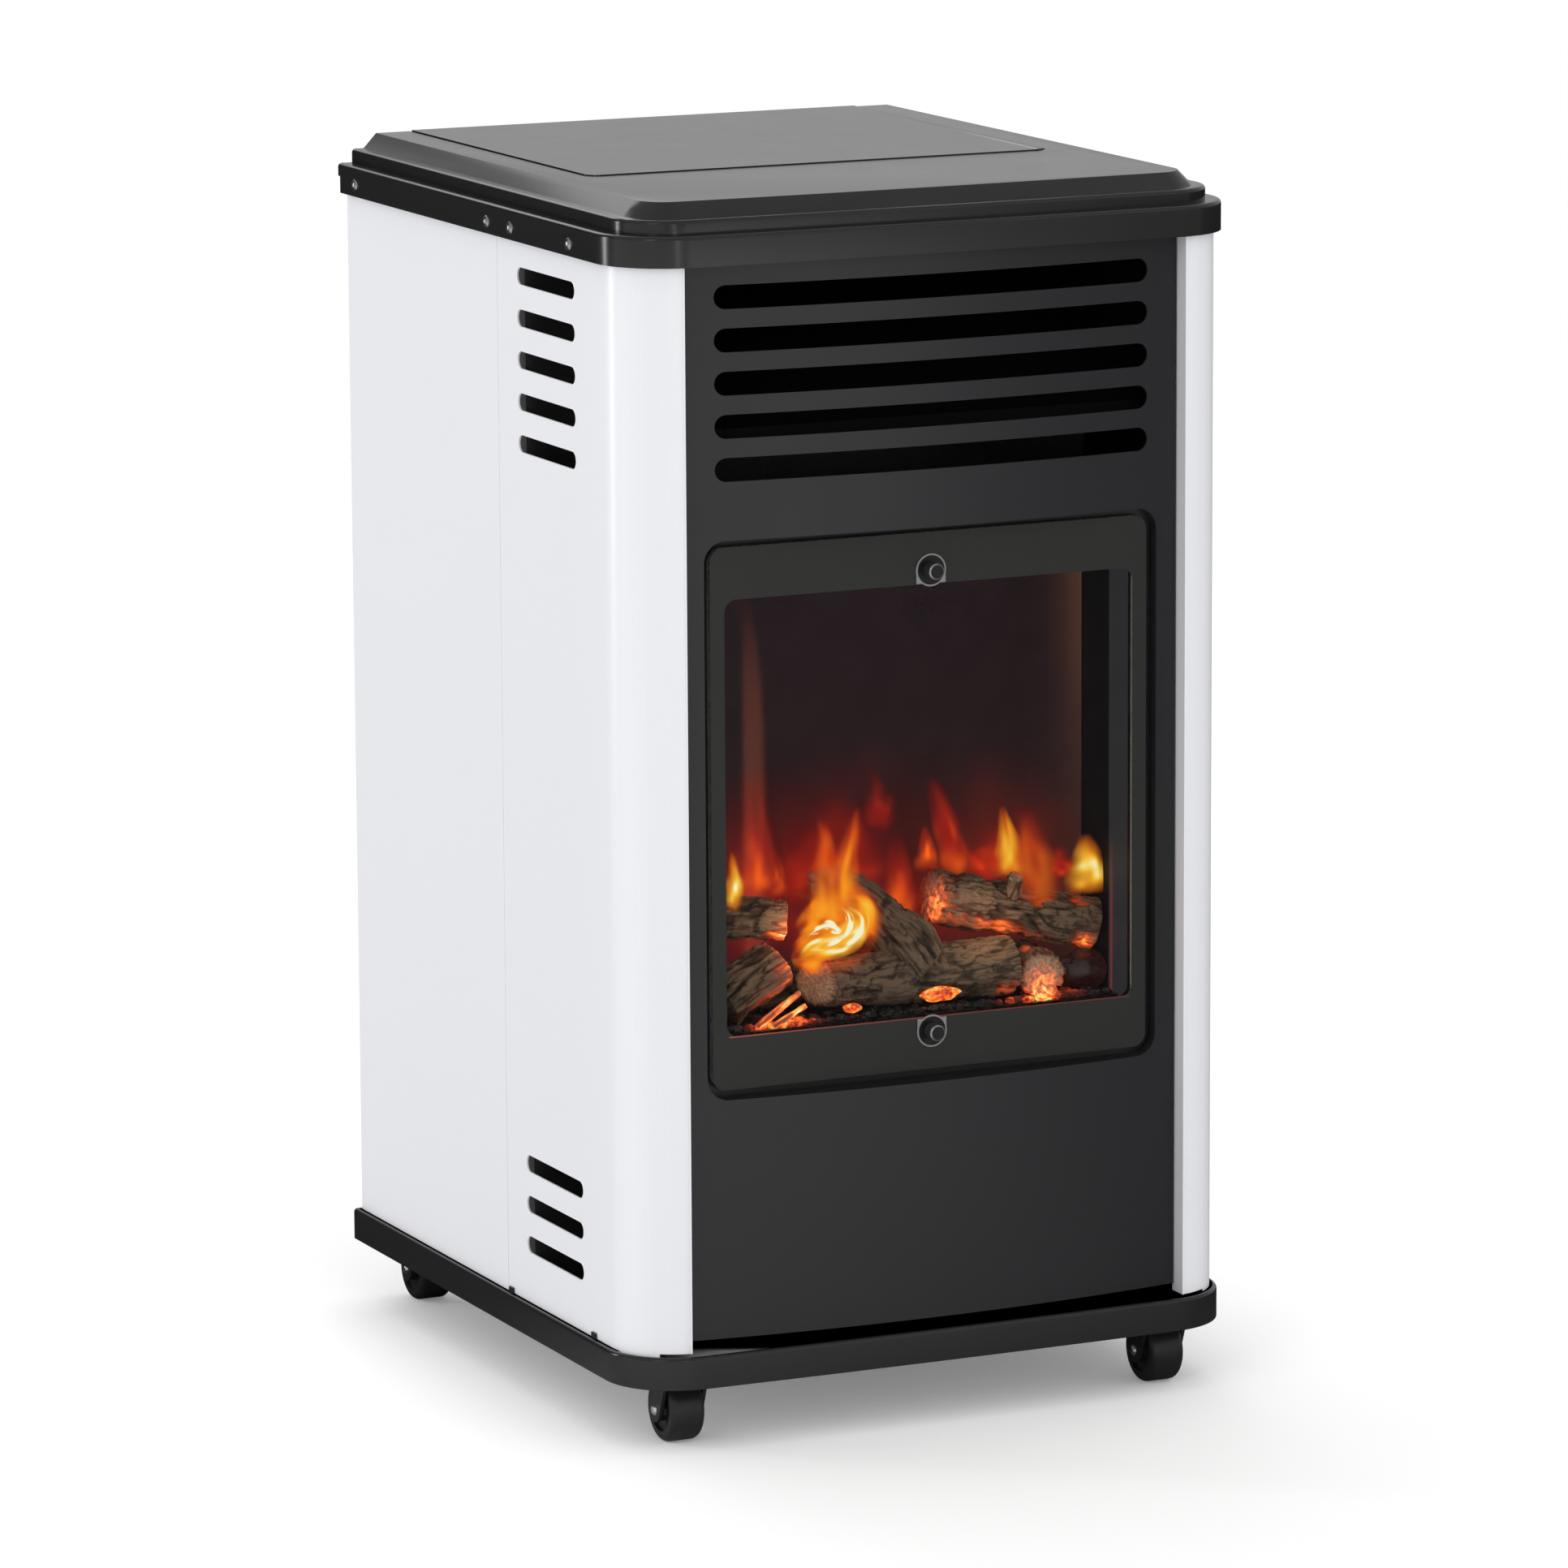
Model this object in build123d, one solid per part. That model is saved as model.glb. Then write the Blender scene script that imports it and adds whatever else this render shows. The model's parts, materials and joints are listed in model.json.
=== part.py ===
"""A portable gas cabinet heater on four castors, as an assembly of separate sub-parts.

The frame: +Z is up, the front faces -Y, and the origin is on the floor under the
centre of the cabinet. All sizes are in millimetres.
"""
from build123d import *
import math
import os

os.makedirs("parts", exist_ok=True)

# Cabinet outline, seen from above
width = 408.0
depth = 448.0
height = 750.0
corner_radius = 45.0
front_bow = 3.0

# Sheet metal
sheet = 1.2
fit_gap = 0.3

# Base: a moulded skirt round a steel floor pan
ground_clearance = 39.0
base_height = 20.0
base_wall = 3.0
base_edge_radius = 2.4
floor_pan_thickness = 2.0
floor_pan_drop = 1.5

# Top cover: skirt, ledge, riser, second ledge, bevel and flat top
cover_wall = 2.5
cover_height = 36.0
cover_skirt_height = 18.5
cover_riser_height = 8.5
cover_ledge = 9.5
cover_second_ledge = 8.0
cover_bevel_run = 8.5
cover_edge_radius = 2.4
cover_rear_lip = 3.0
cover_rear_lip_height = 8.0

# White panels
panel_inset = 4.5
pillar_width = 39.0
pillar_return = 14.0
seam_setback = 205.0
seam_gap = 0.6
rear_return = 9.5
pillar_notch_length = 18.0
pillar_notch_height = 3.0

# Side vents
side_slot_length = 86.0
side_slot_height = 10.5
side_slot_pitch = 25.4
side_slot_seam_distance = 73.0
upper_side_slots = 5
upper_side_slot_drop = 57.5
lower_side_slots = 3
lower_side_slot_height = 38.0

# Front panel
panel_thickness = 1.5
panel_setback = 10.8
panel_bow = 12.0
panel_side_gap = 1.0
panel_side_return = 11.0
panel_floor_gap = 8.0
front_slots = 5
front_slot_margin = 21.0
front_slot_height = 14.2
front_slot_pitch = 25.6
front_slot_drop = 56.0

# Window
glass_side_margin = 18.5
glass_foot_height = 158.5
glass_top_drop = 205.0
glass_thickness = 4.0
glass_corner_radius = 9.0
glass_setback = 4.0
glass_edge_gap = 4.4
gasket_thickness = 2.0
gasket_width = 7.0
border_width = 10.0
border_foot_height = 32.5
border_head_height = 32.0
clear_corner_radius = 8.0
stud_offset = 8.5
stud_radius = 3.0
stud_head_radius = 5.0
stud_reach = 9.4
washer_radius = 10.0
washer_thickness = 1.0

# Firebox
firebox_depth = 95.0
firebox_side_margin = 1.5
firebox_bevel = 25.0
firebox_sheet = 1.5
firebox_floor_drop = 16.5
firebox_head_height = 22.0
firebox_flange = 9.0
flue_side_margin = 37.0
flue_depth = 40.0

# Divider between the fire side and the bottle side
divider_seam_distance = 39.0
divider_flange = 50.0

# Flue deflector behind the front slots
deflector_side_margin = 14.0
deflector_lip_height = 7.0
deflector_lip_drop = 143.0
deflector_slope_height = 90.0
deflector_front_gap = 9.0
deflector_cheek_drop = 3.5
deflector_cheek_slant = 20.0

# Burner
burner_end_margin = 33.0
burner_width = 62.0
burner_height = 20.0
burner_setback = 64.0
burner_port_radius = 1.6
burner_port_columns = 9
burner_port_rows = 3
injector_radius = 6.0
injector_length = 12.0

# Pilot group behind the bed
pilot_x = -20.0
pilot_setback = 107.0
pilot_radius = 3.0
thermocouple_radius = 1.8
electrode_radius = 2.4
pilot_spacing = 13.0

# Gas pipe and leads
pipe_radius = 4.0
pipe_drop = 50.0
pipe_wall_gap = 12.0
lead_drop = 26.0
thermocouple_lead_radius = 1.0
spark_lead_radius = 1.5

# Ember bed and logs
bed_end_gap = 5.0
bed_setback = 29.5
bed_depth = 70.5
bed_height = 14.5
bed_slot_margin = 29.0
bed_slot_width = 8.0
coal_size = 6.5
coal_count = 15
log_radius = 20.0
log_steps = 13.2

# Gas controls
knob_x = 62.0
knob_setback = 65.0
knob_radius = 23.0
knob_grip_radius = 18.0
knob_height = 18.0
knob_travel = 4.0
spindle_radius = 4.0
collar_radius = 6.5
collar_length = 10.0
valve_length = 58.0
valve_width = 44.0
valve_height = 38.0
button_x = -20.0
button_radius = 9.0
button_height = 8.0
button_travel = 5.0
bezel_radius = 13.0
bezel_height = 4.0
piezo_length = 46.0
running_gap = 0.06
nozzle_radius = 4.5
nozzle_length = 26.0
nozzle_hex = 8.5

# Flap over the controls
flap_side_margin = 50.0
flap_setback = 169.0
flap_rise = 0.7
flap_gap = 1.3
flap_corner_radius = 9.0
flap_hinge_inset = 5.0
flap_hinge_drop = 7.5
flap_hinge_margin = 44.0
flap_knuckle_radius = 4.0
flap_knuckle_length = 24.0
flap_lug_width = 5.0
flap_pin_radius = 2.0

# Control tray under the flap
tray_side_margin = 4.0
tray_depth = 30.0
tray_front_margin = 5.0
tray_rear_margin = 16.0
tray_flange = 14.0
tray_corner_radius = 8.0

# Rear door
door_clearance = 1.5
door_hinge_inset = 19.5
door_hinge_setback = 2.2
door_knuckle_radius = 3.0
door_knuckle_length = 30.0
door_pin_radius = 1.5
door_hinge_height = 150.0
door_vent_margin = 84.0
door_vent_height = 7.0
door_vent_pitch = 16.0
door_vents = 4
door_finger_hole_radius = 12.0
hose_notch_radius = 14.0

# Castors
castor_side_margin = 42.0
castor_end_margin = 29.0
castor_trail = 9.0
wheel_radius = 20.0
wheel_width = 22.0
wheel_edge_radius = 4.0
wheel_recess = 2.0
axle_radius = 2.5
cheek_thickness = 2.3
cheek_gap = 1.2
cheek_back = 17.0
cheek_front = 9.0
crown_thickness = 2.5
crown_height = 43.5
kingpin_radius = 4.0
castor_plate_thickness = 2.0
castor_plate_size = 36.0

# Screws
screw_head_radius = 4.0
screw_head_height = 1.8
screw_shank_radius = 1.7
screw_hole_play = 0.1

# Bottle stop on the floor
bottle_front_gap = 16.8
bottle_rear_gap = 4.0
bottle_stop_height = 14.0
bottle_boss_margin = 2.0
bottle_boss_height = 1.0

# Levels and planes worked out from the sizes above
half_width = width / 2
front_y = -depth / 2
rear_y = depth / 2
base_top = ground_clearance + base_height
floor_top = base_top - floor_pan_drop
floor_under = floor_top - floor_pan_thickness
cover_bottom = height - cover_height
ledge_z = cover_bottom + cover_skirt_height
riser_z = ledge_z + cover_riser_height
panel_top = ledge_z - cover_wall
skin_x = half_width - panel_inset
pillar_inner = half_width - pillar_width
seam_y = front_y + seam_setback
side_slot_y = seam_y - side_slot_seam_distance
upper_side_slot_z = height - upper_side_slot_drop
lower_side_slot_z = floor_top + lower_side_slot_height
pillar_edge_y = front_y + panel_inset + front_bow * (pillar_inner / half_width) ** 2
panel_half = pillar_inner - panel_side_gap
panel_edge_y = pillar_edge_y + panel_setback
panel_centre_y = panel_edge_y - panel_bow
panel_bottom = floor_top + panel_floor_gap
front_slot_length = 2 * (panel_half - front_slot_margin)
front_slot_top_z = height - front_slot_drop
glass_width = 2 * (panel_half - glass_side_margin)
glass_bottom_z = floor_top + glass_foot_height
glass_top_z = height - glass_top_drop
clear_width = glass_width - 2 * border_width
clear_bottom_z = glass_bottom_z + border_foot_height
clear_top_z = glass_top_z - border_head_height


def panel_y(x):
    """The front panel's outer face at a distance x from its middle."""
    radius = (panel_half ** 2 + panel_bow ** 2) / (2 * panel_bow)
    return panel_centre_y + radius - math.sqrt(radius ** 2 - x ** 2)


glass_y = panel_y(glass_width / 2) + glass_setback
glass_back_y = glass_y + glass_thickness
seat_y = glass_back_y + gasket_thickness
seat_back_y = seat_y + panel_thickness
firebox_back_y = glass_y + firebox_depth
firebox_half = clear_width / 2 + firebox_side_margin
firebox_floor_z = clear_bottom_z - firebox_floor_drop
firebox_top_z = clear_top_z + firebox_head_height
flue_width = 2 * (firebox_half - flue_side_margin)
divider_y = seam_y - divider_seam_distance
deflector_width = 2 * (panel_half - deflector_side_margin)
deflector_lip_z = height - deflector_lip_drop
burner_length = 2 * (firebox_half - burner_end_margin)
burner_y = front_y + burner_setback
pilot_y = front_y + pilot_setback
pipe_low_z = firebox_floor_z - pipe_drop
lead_low_z = firebox_floor_z - lead_drop
bed_length = 2 * (firebox_half - bed_end_gap)
bed_front_y = front_y + bed_setback
bed_rear_y = bed_front_y + bed_depth
bed_slot_length = burner_length - 2 * bed_slot_margin
bed_floor_z = firebox_floor_z + firebox_sheet
bed_top = bed_floor_z + bed_height
burner_bottom = firebox_floor_z - burner_height
injector_z = burner_bottom - injector_length
under_top = height - cover_wall
flap_width = width - 2 * flap_side_margin
flap_front_y = front_y + flap_setback
flap_hinge_y = rear_y - flap_hinge_inset
flap_hinge_x = flap_width / 2 - flap_hinge_margin
flap_bottom = under_top + fit_gap
flap_hinge_z = height - flap_hinge_drop
tray_width = flap_width - 2 * tray_side_margin
tray_front_y = flap_front_y + tray_front_margin
tray_rear_y = rear_y - tray_rear_margin
knob_y = flap_front_y + knob_setback
button_y = knob_y
tray_floor_top = under_top - tray_depth
tray_under = tray_floor_top - sheet
valve_bottom = tray_under - valve_height
door_hinge_x = -(half_width - door_hinge_inset)
rear_edge_y = rear_y - base_wall - fit_gap
door_hinge_y = rear_edge_y - door_hinge_setback
door_outer_y = door_hinge_y + door_knuckle_radius - fit_gap
door_inner_y = door_outer_y - sheet
door_vent_length = half_width - door_vent_margin
bottle_room = door_inner_y - divider_y - sheet
bottle_radius = (bottle_room - bottle_front_gap - bottle_rear_gap) / 2
bottle_centre_y = door_inner_y - bottle_rear_gap - bottle_radius
screw_z = cover_bottom + cover_rear_lip_height - 1.0
castor_x = half_width - castor_side_margin
castor_y = rear_y - castor_end_margin
cheek_inner = wheel_width / 2 + cheek_gap
cheek_outer = cheek_inner + cheek_thickness
crown_top = crown_height + crown_thickness
castor_plate_z = floor_under - castor_plate_thickness
nozzle_z = valve_bottom + valve_height / 2
thermocouple_lead_x = pilot_x - pilot_spacing
spark_lead_x = pilot_x + pilot_spacing

MIN_Z = (Align.CENTER, Align.CENTER, Align.MIN)


def save(node, shape):
    """Write one sub-part to its own file."""
    export_step(shape, f"parts/{node}.step")


def block(x, y, z):
    """A box between two limits along each axis."""
    centre = Pos((x[0] + x[1]) / 2, (y[0] + y[1]) / 2, (z[0] + z[1]) / 2)
    return centre * Box(x[1] - x[0], y[1] - y[0], z[1] - z[0])


def upright(x, y, z, radius):
    """A vertical round bar between two levels."""
    return Pos(x, y, z[0]) * Cylinder(radius, z[1] - z[0], align=MIN_Z)


def bar(start, end, radius, end_radius=None):
    """A round bar from one point to another, tapered when a second radius is given."""
    path = Vector(*end) - Vector(*start)
    plane = Plane(origin=start, z_dir=path)
    if end_radius is None or end_radius == radius:
        return plane * Cylinder(radius, path.length, align=MIN_Z)
    return plane * Cone(radius, end_radius, path.length, align=MIN_Z)


def upright_plate(x_width, z, radius, y):
    """A plate with round corners that stands across the front, between two depths."""
    sketch = Plane.XZ * Pos(0, (z[0] + z[1]) / 2) * RectangleRounded(x_width, z[1] - z[0], radius)
    return extrude(Pos(0, y[1], 0) * sketch, y[1] - y[0])


def plan(offset, back=0.0):
    """The cabinet's outline drawn in at the sides and the front, and at the back."""
    half = half_width - offset
    front = front_y + offset
    rear = rear_y - back
    shoulder = front + front_bow
    outline = [
        Line((-half, rear), (-half, shoulder)),
        ThreePointArc((-half, shoulder), (0, front), (half, shoulder)),
        Line((half, shoulder), (half, rear)),
        Line((half, rear), (-half, rear)),
    ]
    face = make_face(outline)
    front_corners = face.vertices().group_by(Axis.Y)[0]
    return fillet(front_corners, max(corner_radius - offset, 1.0))


def tier(offset, z, back=0.0):
    """The cabinet's outline as a solid between two levels."""
    return extrude(Pos(0, 0, z[0]) * plan(offset, back), z[1] - z[0])


def bevel(offset, z, run, back=0.0):
    """A tier whose sides and front lean inwards."""
    low = Pos(0, 0, z[0]) * plan(offset, back)
    high = Pos(0, 0, z[1]) * plan(offset + run, back)
    return loft([low.face(), high.face()], ruled=True)


def round_top_edge(shape, radius):
    """Round the upper edge of a tier, apart from its square back."""
    top = shape.edges().group_by(Axis.Z)[-1]
    front = [edge for edge in top if edge.center().Y < rear_y - cover_wall]
    return fillet(front, radius)


# ---------------------------------------------------------------- base and castors


def base_skirt():
    ring = round_top_edge(tier(0, (ground_clearance, base_top)), base_edge_radius)
    return ring - tier(base_wall, (ground_clearance - 1, base_top + 1), base_wall)


def floor_pan():
    """The steel floor, with a low round boss that the bottle stands on."""
    pan = tier(base_wall, (floor_under, floor_top), base_wall)
    boss_z = (floor_top, floor_top + bottle_boss_height)
    pan += upright(0, bottle_centre_y, boss_z, bottle_radius - bottle_boss_margin)
    for x, y in castor_places():
        pan -= upright(x, y, (floor_under - 1, floor_top + 1), kingpin_radius + fit_gap)
    return pan


def castor_places():
    """The four swivel axes, front left first."""
    return [(sx * castor_x, sy * castor_y) for sy in (-1, 1) for sx in (-1, 1)]


def castor_plate(x, y):
    """The fixed plate with its kingpin, which a head closes under the fork."""
    half = castor_plate_size / 2
    inner = rear_y - base_wall - castor_y
    near = min(half, inner)
    side = math.copysign(1, y)
    y_limits = sorted((y + side * near, y - side * half))
    plate = block((x - half, x + half), y_limits, (castor_plate_z, floor_under))
    head_top = crown_height - fit_gap
    plate += upright(x, y, (head_top, floor_top), kingpin_radius)
    return plate + upright(x, y, (head_top - 1.8, head_top), kingpin_radius + 2.5)


def castor_plates():
    return Compound(children=[castor_plate(x, y) for x, y in castor_places()])


def cheek_outline():
    """One cheek of the fork, seen from the side, with the swivel axis at zero."""
    top_line = Line((-cheek_front, crown_top), (cheek_back, crown_top))
    eye = Pos(castor_trail, wheel_radius) * CenterArc((0, 0), wheel_radius * 0.38, 0, 360)
    return make_hull([top_line, eye])


def castor_fork(x, y):
    """The swivelling fork: a raceway, a crown and two cheeks."""
    race_top = castor_plate_z - fit_gap
    fork = upright(x, y, (crown_top, race_top), castor_plate_size * 0.35)
    crown_y = (y - cheek_front, y + cheek_back)
    crown = block((x - cheek_outer, x + cheek_outer), crown_y, (crown_height, crown_top))
    fork += crown
    for side in (-1, 1):
        face = Plane.YZ * cheek_outline()
        start = cheek_inner if side > 0 else -cheek_outer
        fork += Pos(x + start, y, 0) * extrude(face, cheek_thickness)
    bore = kingpin_radius + running_gap
    fork -= upright(x, y, (crown_height - 1, race_top + 1), bore)
    axle_y = y + castor_trail
    hole = bar((x - cheek_outer - 1, axle_y, wheel_radius), (x + cheek_outer + 1, axle_y, wheel_radius), axle_radius)
    return fork - hole


def castor_axle(x, y):
    """A rivet through both cheeks."""
    axle_y = y + castor_trail
    pin = bar((x - cheek_outer, axle_y, wheel_radius), (x + cheek_outer, axle_y, wheel_radius), axle_radius)
    for side in (-1, 1):
        face = x + side * cheek_outer
        pin += bar((face, axle_y, wheel_radius), (face + side * 1.4, axle_y, wheel_radius), 3.6, 2.2)
    return pin


def castor_wheel(x, y):
    """A moulded wheel with round shoulders and a recess round each hub."""
    axle_y = y + castor_trail
    plane = Plane(origin=(x, axle_y, wheel_radius), z_dir=(1, 0, 0))
    rim = Cylinder(wheel_radius, wheel_width)
    rim = fillet(rim.edges(), wheel_edge_radius)
    dish = Cylinder(wheel_radius * 0.68, wheel_recess) - Cylinder(wheel_radius * 0.36, wheel_recess)
    for side in (-1, 1):
        rim -= Pos(0, 0, side * (wheel_width - wheel_recess) / 2) * dish
    rim += Cylinder(wheel_radius * 0.3, wheel_width + 2 * (cheek_gap - fit_gap))
    rim -= Cylinder(axle_radius + running_gap, wheel_width * 2)
    return plane * rim


# ---------------------------------------------------------------- white panels


def side_slot(z):
    """A cutter for one vent through a side panel, at a height."""
    sketch = Plane.YZ * Pos(side_slot_y, z) * SlotOverall(side_slot_length, side_slot_height)
    return extrude(sketch, width, both=True)


def side_slot_heights():
    upper = [upper_side_slot_z - i * side_slot_pitch for i in range(upper_side_slots)]
    lower = [lower_side_slot_z + i * side_slot_pitch for i in range(lower_side_slots)]
    return upper + lower


def screw_places():
    """Where the cover's screws stand along each side."""
    return [rear_y - 27.0, seam_y + 6.0, seam_y - 30.0, seam_y - 118.0]


def screw_hole(y, side):
    """A cutter for one cover screw, through the skirt and the panel."""
    radius = screw_shank_radius + screw_hole_play
    return bar((side * (skin_x - 8), y, screw_z), (side * (half_width + 5), y, screw_z), radius)


def front_pillar(side):
    """The slotted side strip, the round corner and the folded front edge."""
    skin = tier(panel_inset, (floor_top, panel_top))
    skin -= tier(panel_inset + sheet, (floor_top - 1, panel_top + 1), -5)
    outer = side * (half_width + 10)
    inner = side * pillar_inner
    region = block(sorted((inner, outer)), (front_y - 10, seam_y), (0, height))
    pillar = skin & region
    fold = sorted((inner, inner + side * sheet))
    pillar += block(fold, (pillar_edge_y, pillar_edge_y + pillar_return), (floor_top, panel_top))
    for z in side_slot_heights():
        pillar -= side_slot(z)
    notch_end = inner + side * pillar_notch_length
    notch_top = floor_top + pillar_notch_height
    notch_x = sorted((inner - side, notch_end))
    pillar -= block(notch_x, (front_y, pillar_edge_y + pillar_return + 1), (floor_top - 1, notch_top))
    for y in screw_places()[2:]:
        pillar -= screw_hole(y, side)
    return pillar


def rear_panel(side):
    """The plain rear half of a side, with its folded rear edge."""
    skin = sorted((side * skin_x, side * (skin_x - sheet)))
    panel = block(skin, (seam_y + seam_gap, rear_edge_y), (floor_top, panel_top))
    fold = sorted((side * skin_x, side * (skin_x - rear_return)))
    panel += block(fold, (rear_edge_y - sheet, rear_edge_y), (floor_top, cover_bottom - 1))
    for y in screw_places()[:2]:
        panel -= screw_hole(y, side)
    return panel


def base_clips():
    """Small black tabs that hold the foot of each panel against the skirt."""
    tabs = []
    for side in (-1, 1):
        tab_x = sorted((side * skin_x, side * (half_width - base_wall)))
        for y in (seam_y - 6, seam_y - 132):
            tabs.append(block(tab_x, (y - 3, y + 3), (floor_top, base_top + 3.5)))
    return Compound(children=tabs)


# ---------------------------------------------------------------- front panel and window


def bowed_sheet(z):
    """A sheet bowed forward across the front, between two levels."""
    back = panel_thickness
    outline = [
        ThreePointArc((-panel_half, panel_edge_y), (0, panel_centre_y), (panel_half, panel_edge_y)),
        Line((panel_half, panel_edge_y), (panel_half, panel_edge_y + back)),
        ThreePointArc(
            (panel_half, panel_edge_y + back), (0, panel_centre_y + back), (-panel_half, panel_edge_y + back)
        ),
        Line((-panel_half, panel_edge_y + back), (-panel_half, panel_edge_y)),
    ]
    return extrude(Pos(0, 0, z[0]) * make_face(outline), z[1] - z[0])


def behind_panel(z):
    """Everything behind the bowed face, used to trim the window's recess."""
    far = seat_back_y + 60
    outline = [
        ThreePointArc((-panel_half, panel_edge_y), (0, panel_centre_y), (panel_half, panel_edge_y)),
        Line((panel_half, panel_edge_y), (panel_half, far)),
        Line((panel_half, far), (-panel_half, far)),
        Line((-panel_half, far), (-panel_half, panel_edge_y)),
    ]
    return extrude(Pos(0, 0, z[0]) * make_face(outline), z[1] - z[0])


def front_slot_heights():
    return [front_slot_top_z - i * front_slot_pitch for i in range(front_slots)]


def front_panel():
    """The bowed black panel with its air slots and the sunk seat for the glass."""
    levels = (panel_bottom, panel_top)
    panel = bowed_sheet(levels)
    for side in (-1, 1):
        fold = sorted((side * panel_half, side * (panel_half - panel_thickness)))
        panel += block(fold, (panel_edge_y, panel_edge_y + panel_side_return), levels)
    hole_width = glass_width + 2 * glass_edge_gap
    hole_z = (glass_bottom_z - glass_edge_gap, glass_top_z + glass_edge_gap)
    hole_radius = glass_corner_radius + glass_edge_gap
    wall = panel_thickness
    sink_z = (hole_z[0] - wall, hole_z[1] + wall)
    sink = upright_plate(hole_width + 2 * wall, sink_z, hole_radius + wall, (front_y, seat_back_y))
    panel += sink & behind_panel(levels)
    panel -= upright_plate(hole_width, hole_z, hole_radius, (front_y - 5, seat_y))
    view_z = (clear_bottom_z - firebox_side_margin, clear_top_z + firebox_side_margin)
    view_width = clear_width + 2 * firebox_side_margin
    panel -= upright_plate(view_width, view_z, clear_corner_radius, (front_y - 5, seat_back_y + 5))
    for z in front_slot_heights():
        sketch = Plane.XZ * Pos(0, z) * SlotOverall(front_slot_length, front_slot_height)
        panel -= extrude(Pos(0, panel_edge_y + panel_side_return, 0) * sketch, 60)
    for z in stud_heights():
        panel -= bar((0, seat_y - 1, z), (0, seat_back_y + 1, z), stud_radius + screw_hole_play)
    return panel


def stud_heights():
    return (clear_bottom_z - stud_offset, clear_top_z + stud_offset)


def window_glass():
    glass_z = (glass_bottom_z, glass_top_z)
    pane = upright_plate(glass_width, glass_z, glass_corner_radius, (glass_y, glass_back_y))
    for z in stud_heights():
        pane -= bar((0, glass_y - 1, z), (0, glass_back_y + 1, z), stud_radius + 0.4)
    return pane


def glass_gasket():
    outer_z = (glass_bottom_z + 1, glass_top_z - 1)
    ring = upright_plate(glass_width - 2, outer_z, glass_corner_radius, (glass_back_y, seat_y))
    inner_z = (outer_z[0] + gasket_width, outer_z[1] - gasket_width)
    inner_width = glass_width - 2 - 2 * gasket_width
    return ring - upright_plate(inner_width, inner_z, clear_corner_radius, (glass_y, seat_back_y))


def glass_washers():
    """A dished washer on the glass for each stud, with a raised rim."""
    washers = []
    for z in stud_heights():
        rim_y = glass_y - washer_thickness
        disc = bar((0, glass_y, z), (0, rim_y, z), washer_radius)
        towards_clear = math.copysign(washer_radius * 0.8, clear_bottom_z + 1 - z)
        tab_z = sorted((z, z + towards_clear))
        tab_half = washer_radius * 0.97
        disc += block((-tab_half, tab_half), (rim_y, glass_y), tab_z)
        disc -= bar((0, glass_y - washer_thickness / 2, z), (0, rim_y - 1, z), washer_radius - 1.3)
        disc -= bar((0, glass_y + 1, z), (0, rim_y - 1, z), stud_radius + screw_hole_play)
        washers.append(disc)
    return Compound(children=washers)


def glass_studs():
    """The two shouldered screws that hold the glass to its seat."""
    studs = []
    for z in stud_heights():
        head_y = glass_y - stud_reach
        collar_y = glass_y - washer_thickness / 2
        head = bar((0, collar_y, z), (0, head_y, z), stud_head_radius)
        head = chamfer(head.edges().group_by(Axis.Y)[0], 0.8)
        studs.append(head + bar((0, collar_y, z), (0, seat_back_y + 1.5, z), stud_radius))
    return Compound(children=studs)


# ---------------------------------------------------------------- top cover and flap


def flap_opening(gap, z):
    """The flap's outline as a solid that runs out through the back."""
    length = rear_y + 60 - flap_front_y + gap
    centre_y = flap_front_y - gap + length / 2
    sketch = RectangleRounded(flap_width + 2 * gap, length, flap_corner_radius + gap)
    return extrude(Pos(0, centre_y, z[0]) * sketch, z[1] - z[0])


def cover_shell():
    """The stepped shell: skirt, riser and bevelled top, hollow underneath."""
    bevel_offset = cover_ledge + cover_second_ledge
    outer = round_top_edge(tier(0, (cover_bottom, ledge_z)), cover_edge_radius)
    outer += round_top_edge(tier(cover_ledge, (ledge_z - cover_wall, riser_z)), cover_edge_radius)
    outer += bevel(bevel_offset, (riser_z, height), cover_bevel_run)
    wall = cover_wall
    inner = tier(wall, (cover_bottom - 1, ledge_z - wall), wall)
    inner += tier(cover_ledge + wall, (cover_bottom - 1, riser_z - wall), wall)
    inner += bevel(bevel_offset + wall, (riser_z - wall, height - wall), cover_bevel_run, wall)
    return outer - inner


def flap_lugs():
    """The upright lugs on the cover's back wall, two to each hinge."""
    lugs = []
    offset = (flap_knuckle_length + flap_lug_width) / 2 + 0.4
    for x in (-flap_hinge_x, flap_hinge_x):
        for side in (-1, 1):
            centre = x + side * offset
            lug_x = (centre - flap_lug_width / 2, centre + flap_lug_width / 2)
            lug_y = (flap_hinge_y - 4.5, flap_hinge_y + 3.5)
            lug_z = (cover_bottom + cover_rear_lip + 9, flap_hinge_z)
            lug = block(lug_x, lug_y, lug_z)
            eye_start = (lug_x[0], flap_hinge_y, flap_hinge_z)
            eye_end = (lug_x[1], flap_hinge_y, flap_hinge_z)
            lug += bar(eye_start, eye_end, 4.5)
            hole_start = (lug_x[0] - 1, flap_hinge_y, flap_hinge_z)
            hole_end = (lug_x[1] + 1, flap_hinge_y, flap_hinge_z)
            lugs.append(lug - bar(hole_start, hole_end, flap_pin_radius))
    return lugs


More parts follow.
